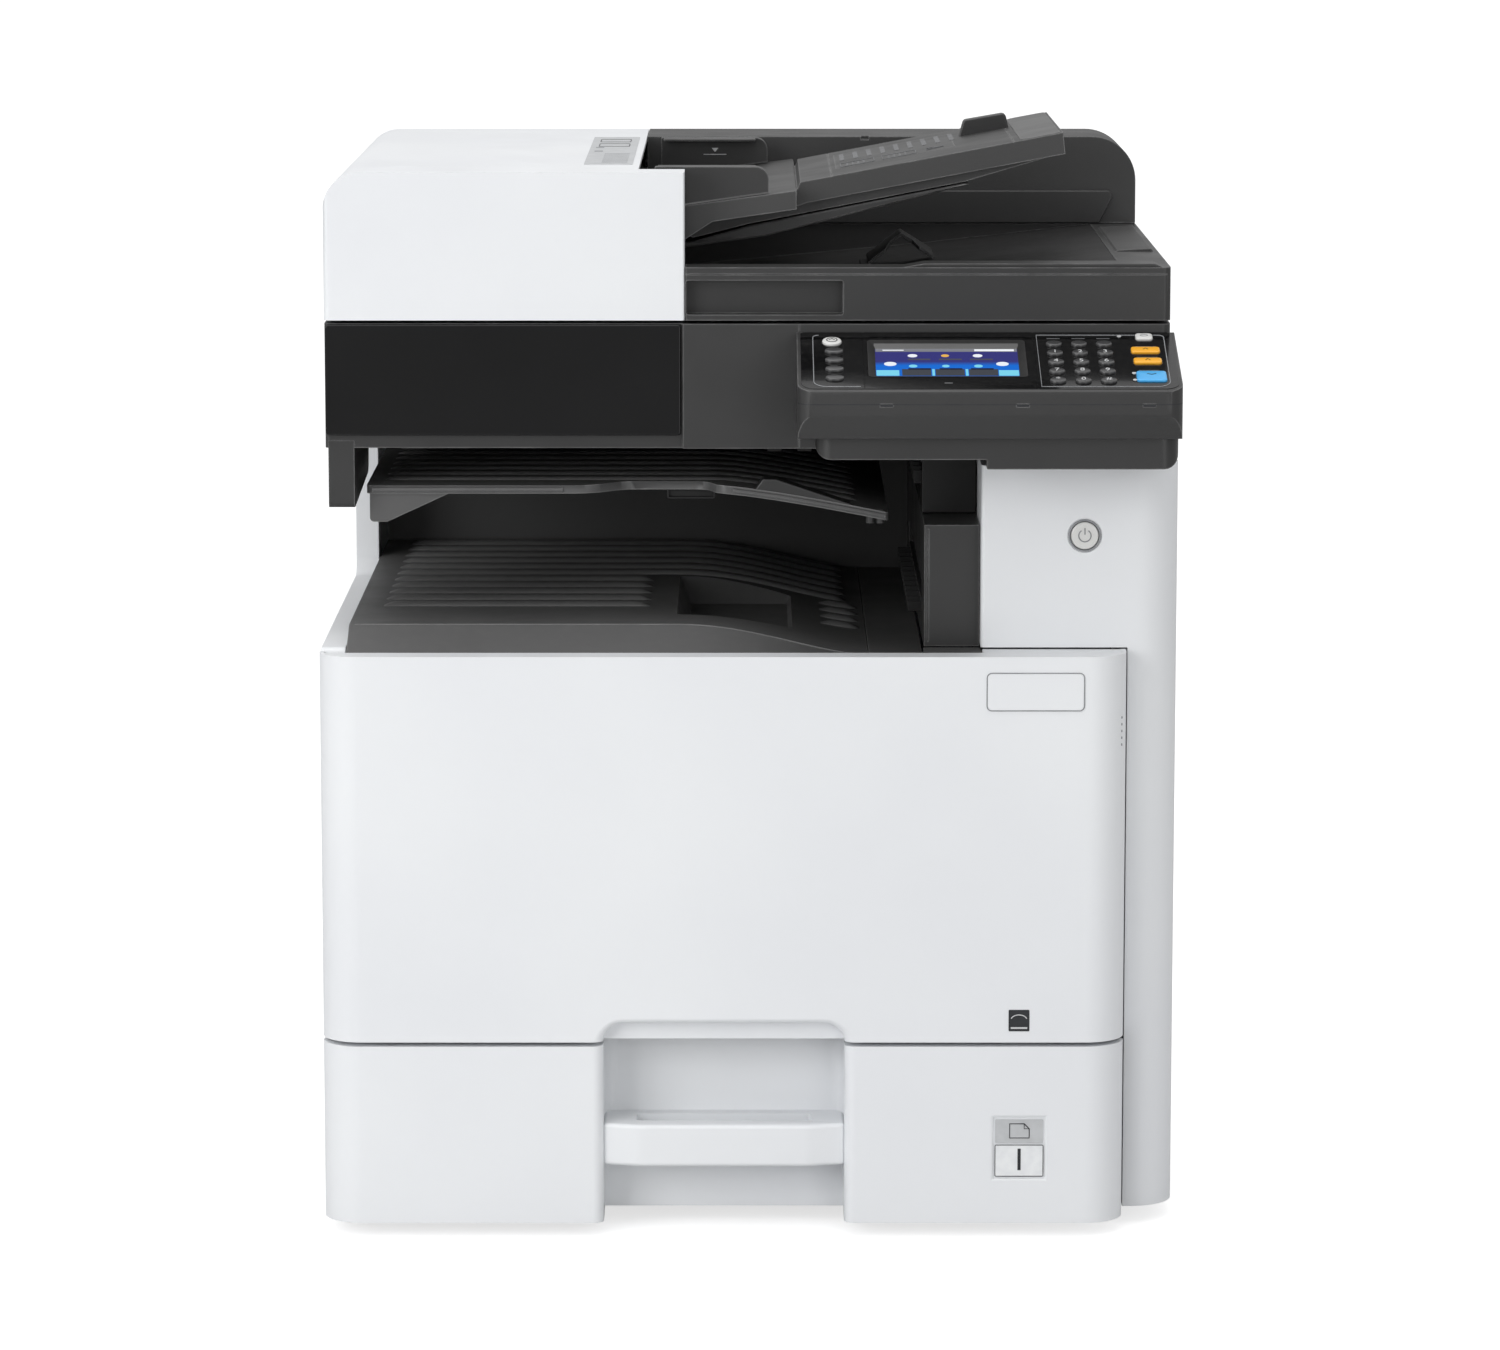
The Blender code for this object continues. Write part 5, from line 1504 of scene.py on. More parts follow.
# ------------------------ operating panel
@dataclass
class OperatingPanel:
    """The tilted panel. Places on it are (x, distance up the slope from its front edge)."""

    left: float = 0.032
    right: float = 0.2914
    front: float = -0.295
    back: float = -0.1935
    edge_z: float = 0.5906
    back_z: float = 0.6206
    bottom: float = 0.557
    split: float = 0.5812
    key_rise: float = 0.0018
    screen_left: float = 0.0856
    screen_right: float = 0.182
    screen_low: float = 0.031
    screen_high: float = 0.0785
    screen_depth: float = -0.0016
    column_x: float = 0.2247
    column_pitch: float = 0.0171
    row_v: float = 0.0489
    row_pitch: float = 0.0163
    clips: tuple[float, ...] = (0.0875, 0.179, 0.264)

    @property
    def slope(self) -> Matrix:
        """Takes (x, up the slope, out of the surface) to the machine."""
        tilt = math.atan2(self.back_z - self.edge_z, self.back - self.front)
        return Matrix.Translation((0, self.front, self.edge_z)) @ Matrix.Rotation(tilt, 4, "X")

    def on_slope(self, piece: Thing) -> Thing:
        """Moves a piece made about the slope's own plane to the machine."""
        piece.data.transform(self.slope)
        return piece

    def body(self) -> Thing:
        """The panel's case with its rolled front edge, the parting line and the bracket below."""
        side = [(self.back, self.bottom, 0), (self.back, self.back_z, 0.0005)]
        side += [(self.front, self.edge_z, 0.0035), (self.front, 0.574, 0.004), (-0.284, self.bottom, 0.002)]
        case = prism("panel_case", rounded(side, 8), Axis.X, self.left, self.right)
        combine(case, prism("plan", self.plan(0.0), Axis.Z, 0.5, 0.65), Join.KEEP)
        front = [(0.044, 0.6, 0), (0.044, 0.542, 0.01), (0.16, 0.542, 0.001), (0.16, 0.5355, 0.001)]
        front += [(0.29, 0.5355, 0.01), (0.29, 0.6, 0)]
        shelf = prism("shelf", rounded(front, 6), Axis.Y, -0.276, self.back)
        plan = [(0.044, self.back, 0), (0.044, -0.276, 0.012), (0.29, -0.276, 0.012), (0.29, self.back, 0)]
        combine(shelf, prism("plan", rounded(plan, 8), Axis.Z, 0.5, self.bottom + 0.004), Join.KEEP)
        combine(case, shelf, Join.ADD)
        low, high = self.split - 0.0012, self.split + 0.0006
        slots = [((x, -0.3, low), (x + 0.0085, self.front + 0.0022, high)) for x in self.clips]
        combine(case, boxes("slots", slots))
        combine(case, self.screen_well())
        return soften(case, 0.0009, 3, 38)

    def plan(self, inset: float) -> list[Point]:
        """The case's plan, drawn in by an inset."""
        left, right, front = self.left + inset, self.right - inset, self.front + inset
        radius = 0.012 - inset
        rear = self.back + 0.01
        return rounded([(left, rear, 0), (left, front, radius), (right, front, radius), (right, rear, 0)], 10)

    def screen_well(self) -> Thing:
        """The well round the screen, whose walls lean inwards."""
        outer, inner = self.bezel_outlines()
        layers = [(-0.0026, inner), (-0.0019, inner), (0.0004, outer), (0.01, outer)]
        return self.on_slope(stepped("screen_well", Axis.Z, layers))

    def bezel_outlines(self) -> tuple[list[Point], list[Point]]:
        """The outer and the inner outline of the well round the screen."""
        outer = panel_outline(0.08, 0.1878, 0.024, 0.09, 0.003, 4)
        return outer, self.screen_outline(0.0005, 0.0012, 4)

    def screen_outline(self, grow: float, radius: float, steps: int) -> list[Point]:
        """The screen's outline, grown by a margin."""
        left, right = self.screen_left - grow, self.screen_right + grow
        return panel_outline(left, right, self.screen_low - grow, self.screen_high + grow, radius, steps)

    def bezel(self) -> Thing:
        """The satin ring that lines the well."""
        outer, inner = self.bezel_outlines()
        layers = [(-0.003, inner), (-0.0019, inner), (0.00045, outer), (0.0006, outer)]
        ring = stepped("screen_bezel", Axis.Z, layers)
        layers = [(-0.01, inner), (-0.0017, inner), (0.00061, outer), (0.01, outer)]
        cutter = stepped("opening", Axis.Z, layers)
        for point in cutter.data.vertices:
            point.co.x = 0.1339 + (point.co.x - 0.1339) * 0.992
            point.co.y = 0.056 + (point.co.y - 0.056) * 0.985
        return self.on_slope(combine(ring, cutter))

    def top_plate(self) -> Thing:
        """The gloss plate that covers the panel's top, with its two parting lines."""
        corners = [(0.0345, 0.0035, 0.01), (0.289, 0.0035, 0.01), (0.289, 0.1045, 0.003)]
        corners += [(0.0345, 0.1045, 0.003)]
        plate = self.on_slope(prism("panel_gloss_plate", rounded(corners, 8), Axis.Z, -0.001, 0.00035))
        combine(plate, self.screen_well())
        lines = [((x, 0.0, 0.0001), (x + 0.0006, 0.11, 0.01)) for x in (0.0768, 0.1936)]
        combine(plate, self.on_slope(boxes("lines", lines)))
        for _, x, v, half_x, half_v, radius, _ in self.keys():
            reach_x, reach_v = half_x + 0.0005, half_v + 0.0005
            well = panel_outline(x - reach_x, x + reach_x, v - reach_v, v + reach_v, radius, 6)
            combine(plate, self.on_slope(prism("well", well, Axis.Z, -0.005, 0.01)))
        return soften(plate, 0.0003, 2, 40)

    def keys(self) -> list[tuple[str, float, float, float, float, float, Finish]]:
        """Each big key: node, x, place up the slope, half sizes, corner radius and finish."""
        return [
            ("home_key", 0.056, 0.0868, 0.0066, 0.0066, 0.0064, WHITE_KEY),
            ("energy_key", 0.2699, 0.095, 0.0058, 0.005, 0.0024, WHITE_KEY),
            ("stop_key", 0.2695, 0.0709, 0.0098, 0.0048, 0.0022, YELLOW),
            ("reset_key", 0.27, 0.0516, 0.0096, 0.0045, 0.0022, YELLOW),
            ("start_key", 0.271, 0.024, 0.0102, 0.0085, 0.0024, BLUE),
        ]

    def crowned(
        self, name: str, x: float, v: float, outline: Callable[[float], list[Point]], rise: float
    ) -> Thing:
        """A key cap whose upper edge is rolled and whose top is slightly crowned."""
        layers = [(-0.006, outline(0.0)), (rise * 0.45, outline(0.0))]
        layers += [(rise * 0.45 + rise * 0.55 * math.sin(turn), outline(0.0012 * (1 - math.cos(turn))))
                   for turn in (math.pi / 2 * step / 6 for step in range(1, 6))]
        layers += [(rise, outline(0.0016)), (rise + 0.00015, outline(0.0026))]
        cap = stepped(name, Axis.Z, layers)
        cap.data.transform(Matrix.Translation((x, v, 0)))
        return self.on_slope(cap)

    def build_keys(self) -> None:
        """The five big keys with their marks."""
        for node, x, v, half_x, half_v, radius, finish in self.keys():
            def outline(inset: float) -> list[Point]:
                """The cap's outline, drawn in by an inset."""
                reach_x, reach_v, corner = half_x - inset, half_v - inset, max(0.0004, radius - inset)
                return panel_outline(-reach_x, reach_x, -reach_v, reach_v, corner, 6)

            place(self.crowned(node + "_cap", x, v, outline, self.key_rise), finish, node, [node])
        ring = self.key_mark("ring", ellipse(0.056, 0.0868, 0.0036, 0.0036), 0.0003, True)
        roof = self.key_mark("roof", [(0.054, 0.0868), (0.056, 0.0888), (0.058, 0.0868)], 0.0003)
        place(merge("home_mark", [ring, roof]), INK_AND_SHADE, "home_key")
        start = [(0.268, 0.0262), (0.271, 0.0248), (0.274, 0.0262)]
        place(self.key_mark("start_mark", start, 0.0003), INK_AND_SHADE, "start_key")
        for node, x, v in (("stop_key", 0.2695, 0.0709), ("reset_key", 0.27, 0.0516)):
            mark = [(x - 0.0016, v - 0.001), (x, v + 0.0012), (x + 0.0016, v - 0.001)]
            place(self.key_mark(node + "_mark", mark, 0.00026), INK_AND_SHADE, node)
        leaf = ellipse(0.2699, 0.095, 0.0026, 0.0014, 16)
        place(self.key_mark("energy_mark", leaf, 0.00024, True), LINE, "energy_key")

    def key_mark(self, name: str, line: Sequence[Point], radius: float, closed: bool = False) -> Thing:
        """A fine bead on a key's top."""
        return self.on_slope(tube(name, laid(line, Axis.Z, self.key_rise + 0.0002), radius, closed))

    def domed(self, x: float, v: float, half_x: float, half_v: float, rise: float) -> Thing:
        """A small oval key with a domed top."""

        def outline(inset: float) -> list[Point]:
            """The key's outline, drawn in by an inset."""
            return ellipse(0, 0, half_x - inset, half_v - inset, 20)

        return self.crowned("key", x, v, outline, rise)

    def number_keys(self) -> None:
        """The fifteen number keys, with their numerals."""
        caps = []
        marks = []
        for rank, legends in enumerate(("", "123", "456", "789", "*0#")):
            for column in range(3):
                x = self.column_x + self.column_pitch * (column - 1)
                v = self.row_v + self.row_pitch * (2 - rank)
                caps.append(self.domed(x, v, 0.0056, 0.0044, self.key_rise + 0.0005))
                if legends:
                    marks.append((legends[column], x, v, 0.005))
        place(merge("number_key_caps", caps), KEYCAP, "number_keypad", ["number_keypad"])
        ink = numerals("number_key_numerals", marks, self.key_rise + 0.0007, self.slope)
        place(ink, PALE, "number_keypad")
        top_left = (self.column_x - self.column_pitch, self.row_v + 2 * self.row_pitch)
        oval = ellipse(*top_left, 0.002, 0.001, 16)
        place(self.key_mark("number_key_top_mark", oval, 0.0002, True), PALE, "number_keypad")

    def small_keys(self) -> None:
        """The dark keys at the left, their lamps and the printed rules beside the keys."""
        caps = [self.domed(0.0572, v, 0.0064, 0.0042, 0.0022) for v in (0.069, 0.053, 0.037, 0.021)]
        place(merge("left_keys", caps), KEYCAP)
        rise, thick = 0.0003, 0.00015
        rules = row((0.0532, 0.0252, rise), (0.0068, 0.0006, thick), (0, 0.0158, 0), 4)
        for column in range(3):
            x = self.column_x + self.column_pitch * (column - 1)
            low = self.row_v - 2 * self.row_pitch + 0.0052
            rules += row((x - 0.003, low, rise), (0.006, 0.0005, thick), (0, self.row_pitch, 0), 4)
            rules += row((x - 0.0045, 0.0925, rise), (0.009, 0.0009, thick), (0, 0, 0), 1)
        for v in (0.078, 0.059, 0.0355):
            rules += row((0.263, v, rise), (0.014, 0.0006, thick), (0, 0, 0), 1)
        rules += row((0.131, 0.0128, rise), (0.0055, 0.0012, thick), (0, 0, 0), 1)
        place(self.on_slope(boxes("panel_printed_rules", rules)), PICTOGRAM)
        spots = ((0.2595, 0.03), (0.2595, 0.018), (0.253, 0.096))
        lamps = [self.domed(x, v, 0.0011, 0.0011, 0.0008) for x, v in spots]
        place(merge("panel_lamps", lamps), PALE)

    def trim(self) -> Thing:
        """The fine pale line round the gloss plate, broken at its parting lines: a painted highlight along
        the plate's edge.
        """
        corners = [(0.043, 0.099, 0.004), (0.043, 0.007, 0.009), (0.0745, 0.007, 0), (0.0745, 0.099, 0)]
        beads = [tube("bead", laid(rounded(corners, 6)[:-1], Axis.Z, 0.0004), 0.00032)]
        corners = [(0.1962, 0.099, 0), (0.1962, 0.007, 0), (0.283, 0.007, 0.009), (0.2835, 0.099, 0.004)]
        beads += [tube("bead", laid(rounded(corners, 6), Axis.Z, 0.0004), 0.00032, True)]
        return self.on_slope(merge("panel_trim_line", beads))

    def tile(
        self, name: str, spans: Iterable[tuple[float, float, float, float]], finish: Finish, level: int
    ) -> None:
        """Flat areas on the screen.

        Args:
            name: the piece's name.
            spans: (left, right, low, high) of each, as shares of the screen.
            finish: their finish.
            level: how many layers they lie over the backlight.
        """
        width, height = self.screen_right - self.screen_left, self.screen_high - self.screen_low
        low = self.screen_depth + 0.00005 + 0.00008 * level
        solids = [((self.screen_left + left * width, self.screen_low + bottom * height, low - 0.00005),
                   (self.screen_left + right * width, self.screen_low + top * height, low + 0.00008))
                  for left, right, bottom, top in spans]
        place(self.on_slope(boxes(name, solids)), finish)

    def screen(self) -> None:
        """The lit screen, with a plain layout of bars, tiles and round marks."""
        glass = self.screen_outline(0.0006, 0.0008, 3)
        plate = self.on_slope(prism("screen_face", glass, Axis.Z, -0.0035, self.screen_depth))
        place(plate, SCREEN, "housing", ["panel_display"])
        self.tile("screen_bar", [(0.0, 1.0, 0.9, 1.0)], SCREEN_GREY, 1)
        self.tile("screen_bar_box", [(0.7, 0.98, 0.915, 0.985), (0.05, 0.2, 0.935, 0.965)], SCREEN_WHITE, 2)
        tiles = [(0.18 + 0.235 * n, 0.385 + 0.235 * n, 0.0, 0.24) for n in range(3)]
        self.tile("screen_tiles", tiles, SCREEN_GREY, 1)
        corners = [(0.0, 0.16, 0.0, 0.2), (0.86, 1.0, 0.0, 0.2)]
        corners += [(0.392, 0.41, 0.0, 0.24), (0.627, 0.645, 0.0, 0.24)]
        self.tile("screen_corner_tiles", corners, SCREEN_CYAN, 1)
        words = [(0.225 + 0.22 * n, 0.385 + 0.22 * n, low, low + 0.05)
                 for n in range(3) for low in (0.58, 0.22)]
        self.tile("screen_word_bars", words, SCREEN_DIM, 2)
        width, height = self.screen_right - self.screen_left, self.screen_high - self.screen_low
        white = [(0.26, 0.75, 0.034), (0.72, 0.75, 0.034), (0.1, 0.44, 0.044), (0.89, 0.44, 0.044)]
        cyan = [(0.26, 0.36, 0.03), (0.49, 0.36, 0.026), (0.72, 0.36, 0.03)]
        for name, finish, places in (
            ("screen_white_marks", SCREEN_WHITE, white),
            ("screen_gold_marks", SCREEN_GOLD, [(0.49, 0.75, 0.028)]),
            ("screen_cyan_marks", SCREEN_CYAN, cyan),
        ):
            marks = []
            for u, v, half in places:
                x, y = self.screen_left + u * width, self.screen_low + v * height
                outline = ellipse(x, y, half * width, half * width * 0.8, 20)
                marks.append(prism("mark", outline, Axis.Z, self.screen_depth, self.screen_depth + 0.0002))
            place(self.on_slope(merge(name, marks)), finish)

    def build(self) -> None:
        """Builds the panel."""
        place(self.body(), SATIN, "housing", ["control_panel"])
        place(self.top_plate(), GLOSS)
        # The pale trim line is a painted highlight along the gloss plate's edge.
        place(self.trim(), LINE)
        place(self.bezel(), DEEP)
        # A pale strip over the upper wall of the screen's well: painted light, as that wall faces the front
        # lamps.
        band = [(0.0787, -0.0016), (0.0897, 0.0006), (0.0897, 0.0001), (0.0787, -0.0021)]
        band = self.on_slope(prism("screen_upper_bezel", band, Axis.X, 0.0835, 0.1845))
        place(band, PALE_SATIN)
        # Dark strips in the clip slots and along the parting line: painted shade in the gaps.
        low, high = self.split - 0.001, self.split + 0.0004
        gaps = [((x, self.front - 0.0001, low), (x + 0.0085, self.front + 0.002, high)) for x in self.clips]
        place(boxes("panel_clip_gaps", gaps), INK_AND_SHADE)
        line = prism("panel_split_line", self.plan(-0.00004), Axis.Z, self.split, self.split + 0.0006)
        combine(line, box("back", (0.0, self.back - 0.001, 0.57), (0.32, self.back + 0.02, 0.6)))
        place(line, INK_AND_SHADE)
        self.build_keys()
        self.number_keys()
        self.small_keys()
        self.screen()


# ------------------------ lid and document feeder
@dataclass
class Feeder:
    """The lid with the eject surface, the feed unit and the covers over it."""

    left: float = -0.293
    face: float = -0.193
    rear: float = 0.29
    bottom: float = 0.6285
    lid_top: float = 0.665
    top: float = 0.73
    cover_right: float = -0.045

    def lid(self) -> Thing:
        """The lid: a slab with the eject surface sunk in its top and a finger grip in its front."""
        plan = [(-0.278, -0.155, 0), (-0.0445, -0.155, 0), (-0.0445, self.face, 0.001)]
        plan += [(0.289, self.face, 0.005), (0.289, self.rear, 0.008), (-0.0765, self.rear, 0)]
        plan += [(-0.0765, 0.2865, 0), (-0.278, 0.2865, 0)]
        lid = prism("lid_slab", rounded(plan, 6), Axis.Z, self.bottom, self.lid_top)
        sunk = [(-0.078, 0.634), (-0.048, 0.634), (0.135, 0.651), (0.255, 0.6645)]
        sunk += [(0.255, 0.7), (-0.078, 0.7)]
        combine(lid, prism("eject_surface", sunk, Axis.Y, -0.165, 0.1945))
        grip = panel_outline(-0.044, 0.064, 0.6325, 0.656, 0.0015, 3)
        combine(lid, prism("grip", grip, Axis.Y, -0.21, -0.181))
        combine(lid, box("line", (-0.0445, -0.2, 0.66), (0.3, self.face + 0.0007, 0.6605)))
        return soften(lid, 0.0014, 3, 38)

    def eject_height(self, x: float) -> float:
        """Height of the eject surface at x."""
        return 0.634 + (x + 0.048) * (0.651 - 0.634) / 0.183 if x < 0.135 else 0.651 + (x - 0.135) * 0.1125

    def eject_details(self) -> None:
        """The slot plate, the front rim, the side rest and the fence round the eject surface."""
        base = self.eject_height(0.205)
        plate = panel_outline(0.188, 0.22, -0.09, -0.066, 0.002, 3)
        plate = prism("eject_slot_plate", plate, Axis.Z, base - 0.004, base + 0.0008)
        combine(plate, box("slot", (0.193, -0.082, base - 0.0015), (0.215, -0.078, base + 0.01)))
        place(soften(plate, 0.0004, 2), DEEP, "lid")
        well = box("stopper_well", (0.08, -0.004, 0.6462), (0.086, 0.074, 0.6482))
        place(soften(well, 0.0005, 2), DEEP, "lid")
        low = self.lid_top - 0.001
        rim = rounded([(0.1, low, 0), (0.285, low, 0), (0.278, 0.6675, 0.001), (0.12, 0.6675, 0.001)], 3)
        place(soften(prism("lid_front_rim", rim, Axis.Y, -0.1905, -0.1665), 0.0006), SATIN, "lid")
        rest = [(0.258, 0.6645, 0), (0.286, 0.6645, 0), (0.284, 0.6672, 0.001), (0.26, 0.666, 0.001)]
        rest = prism("eject_side_rest", rounded(rest, 4), Axis.Y, -0.06, 0.15)
        place(soften(rest, 0.0005), TEXTURED, "lid")
        fence = [(-0.07, 0.6655, 0), (0.262, 0.6655, 0), (0.274, 0.69, 0.004), (-0.07, 0.69, 0)]
        fence = prism("eject_rear_fence", rounded(fence, 4), Axis.Y, 0.1905, 0.1955)
        place(soften(fence, 0.0012), SATIN, "lid")

    def rear_housing(self) -> Thing:
        """The dark housing behind the document table, with its large round shoulder."""
        side = [(-0.0765, 0.6655, 0), (0.289, 0.6655, 0), (0.289, self.top, 0.033), (-0.0765, self.top, 0)]
        housing = prism("rear_housing", rounded(side, 16), Axis.Y, 0.195, self.rear)
        combine(housing, box("hollow", (-0.06, 0.2, 0.65), (0.25, 0.286, 0.7265)))
        combine(housing, box("notch", (0.083, 0.18, 0.7275), (0.089, 0.205, 0.74)))
        combine(housing, box("top_line", (-0.08, 0.24, 0.7294), (0.262, 0.2406, 0.74)))
        return soften(housing, 0.0016, 4, 40)

    def cover(self) -> Thing:
        """The white cover over the feed unit, open below and to the right."""
        plan = [(self.left, self.face, 0.004), (self.cover_right, self.face, 0.0015)]
        plan += [(self.cover_right, -0.158, 0), (-0.077, -0.158, 0), (-0.077, self.rear, 0.001)]
        plan += [(self.left, self.rear, 0.006)]
        cover = prism("feeder_cover_shell", rounded(plan, 5), Axis.Z, self.bottom, self.top)
        shape = [(self.left, 0.6, 0), (0.0, 0.6, 0), (0.0, self.top, 0), (self.left, self.top, 0.025)]
        combine(cover, prism("shape", rounded(shape, 16), Axis.Y, -0.25, 0.35), Join.KEEP)
        for right, low, high in ((-0.048, self.face + 0.003, -0.161), (0.0, -0.1615, 0.287)):
            inner = [(-0.29, 0.6, 0), (right, 0.6, 0), (right, 0.727, 0), (-0.29, 0.727, 0.022)]
            combine(cover, prism("inner", rounded(inner, 12), Axis.Y, low, high))
        creases = row((-0.25, -0.135, self.top - 0.0004), (0.24, 0.0006, 0.0104), (0, 0.388, 0), 2)
        combine(cover, boxes("creases", creases))
        return soften(cover, 0.0028, 5, 50)

    def cover_label(self) -> tuple[Thing, Thing, Thing]:
        """The blank notice on the cover's top, with plain rules and a picture of sheets."""
        z = self.top
        card = panel_outline(-0.116, -0.082, -0.115, 0.185, 0.002, 3)
        card = prism("cover_notice", card, Axis.Z, z - PROUD, z + PROUD)
        rules = row((-0.104, -0.1, z), (0.018, 0.0025, 0.0004), (0, 0.012, 0), 9)
        rules += row((-0.112, 0.02, z), (0.006, 0.01, 0.0004), (0, 0.04, 0), 2)
        frames = [panel_outline(-0.11, -0.088, low, low + 0.03, 0.001, 2) for low in (0.075, 0.125)]
        sheets = [tube("sheet", laid(outline, Axis.Z, z + 0.0003), 0.0004, True) for outline in frames]
        return card, boxes("cover_notice_rules", rules), merge("cover_notice_sheets", sheets)

    def feed_unit(self) -> None:
        """The feed unit under the cover, with its roller and sensor flags."""
        keep("feed_unit", SATIN, 0.0012)
        keep("feeder_roller", ROLLER)
        arm = [(-0.135, 0.7076, 0), (-0.09, 0.7076, 0), (-0.088, 0.712, 0.002), (-0.13, 0.719, 0.003)]
        arms = [prism("arm", rounded(arm, 4), Axis.Y, y, y + 0.003) for y in (-0.034, 0.0555)]
        place(soften(merge("feeder_roller_arms", arms), 0.0006), DEEP, "lid")
        stations = [(0, 0.01), (-0.01, 0.01), (-0.0125, 0.008)]
        place(lathe("feed_unit_knob", stations, Axis.Y, (-0.25, -0.1485, 0.69), 36), YELLOW, "lid")
        ribs = row((-0.255, -0.146, 0.7073), (0.0016, 0.426, 0.0017), (0.022, 0, 0), 5)
        place(soften(boxes("feed_unit_ribs", ribs), 0.0005, 2), SATIN, "lid")

    def stopper(self) -> Thing:
        """The folded stopper on the eject surface: two hinged leaves that meet in a ridge."""
        ridge = [(0.085, 0.65), (0.1085, 0.668), (0.109, 0.6682), (0.1315, 0.6545), (0.132, 0.657)]
        ridge += [(0.1095, 0.671), (0.1085, 0.671), (0.085, 0.653)]
        leaves = prism("eject_stopper_leaves", ridge, Axis.Y, 0.0, 0.07)
        notch = [(0.096, -0.01), (0.123, -0.01), (0.117, 0.03), (0.102, 0.03)]
        combine(leaves, prism("notch", notch, Axis.Z, 0.6, 0.7))
        return soften(leaves, 0.0006, 2)

    def build(self) -> None:
        """Builds the lid and the feeder."""
        lid = place(self.lid(), SATIN, "lid", ["feeder_base"])

        def sunk(centre: Vector, normal: Vector) -> bool:
            """Whether a face lies on the eject surface."""
            return normal.z > 0.9 and -0.16 < centre.y < 0.19 and centre.x < 0.26 and centre.z < 0.6646

        repaint(lid, DEEP, sunk)
        self.eject_details()
        place(self.rear_housing(), TEXTURED, "lid", ["feeder_rear_housing"])
        keep("platen_sheet", BACKING)
        self.feed_unit()
        place(self.cover(), WHITE, "feeder_cover", ["feeder_cover"])
        card, rules, sheets = self.cover_label()
        place(card, LABEL, "feeder_cover")
        place(rules, LINE, "feeder_cover")
        place(sheets, PICTOGRAM, "feeder_cover")
        place(self.stopper(), TEXTURED, "eject_stopper", ["eject_stopper"])


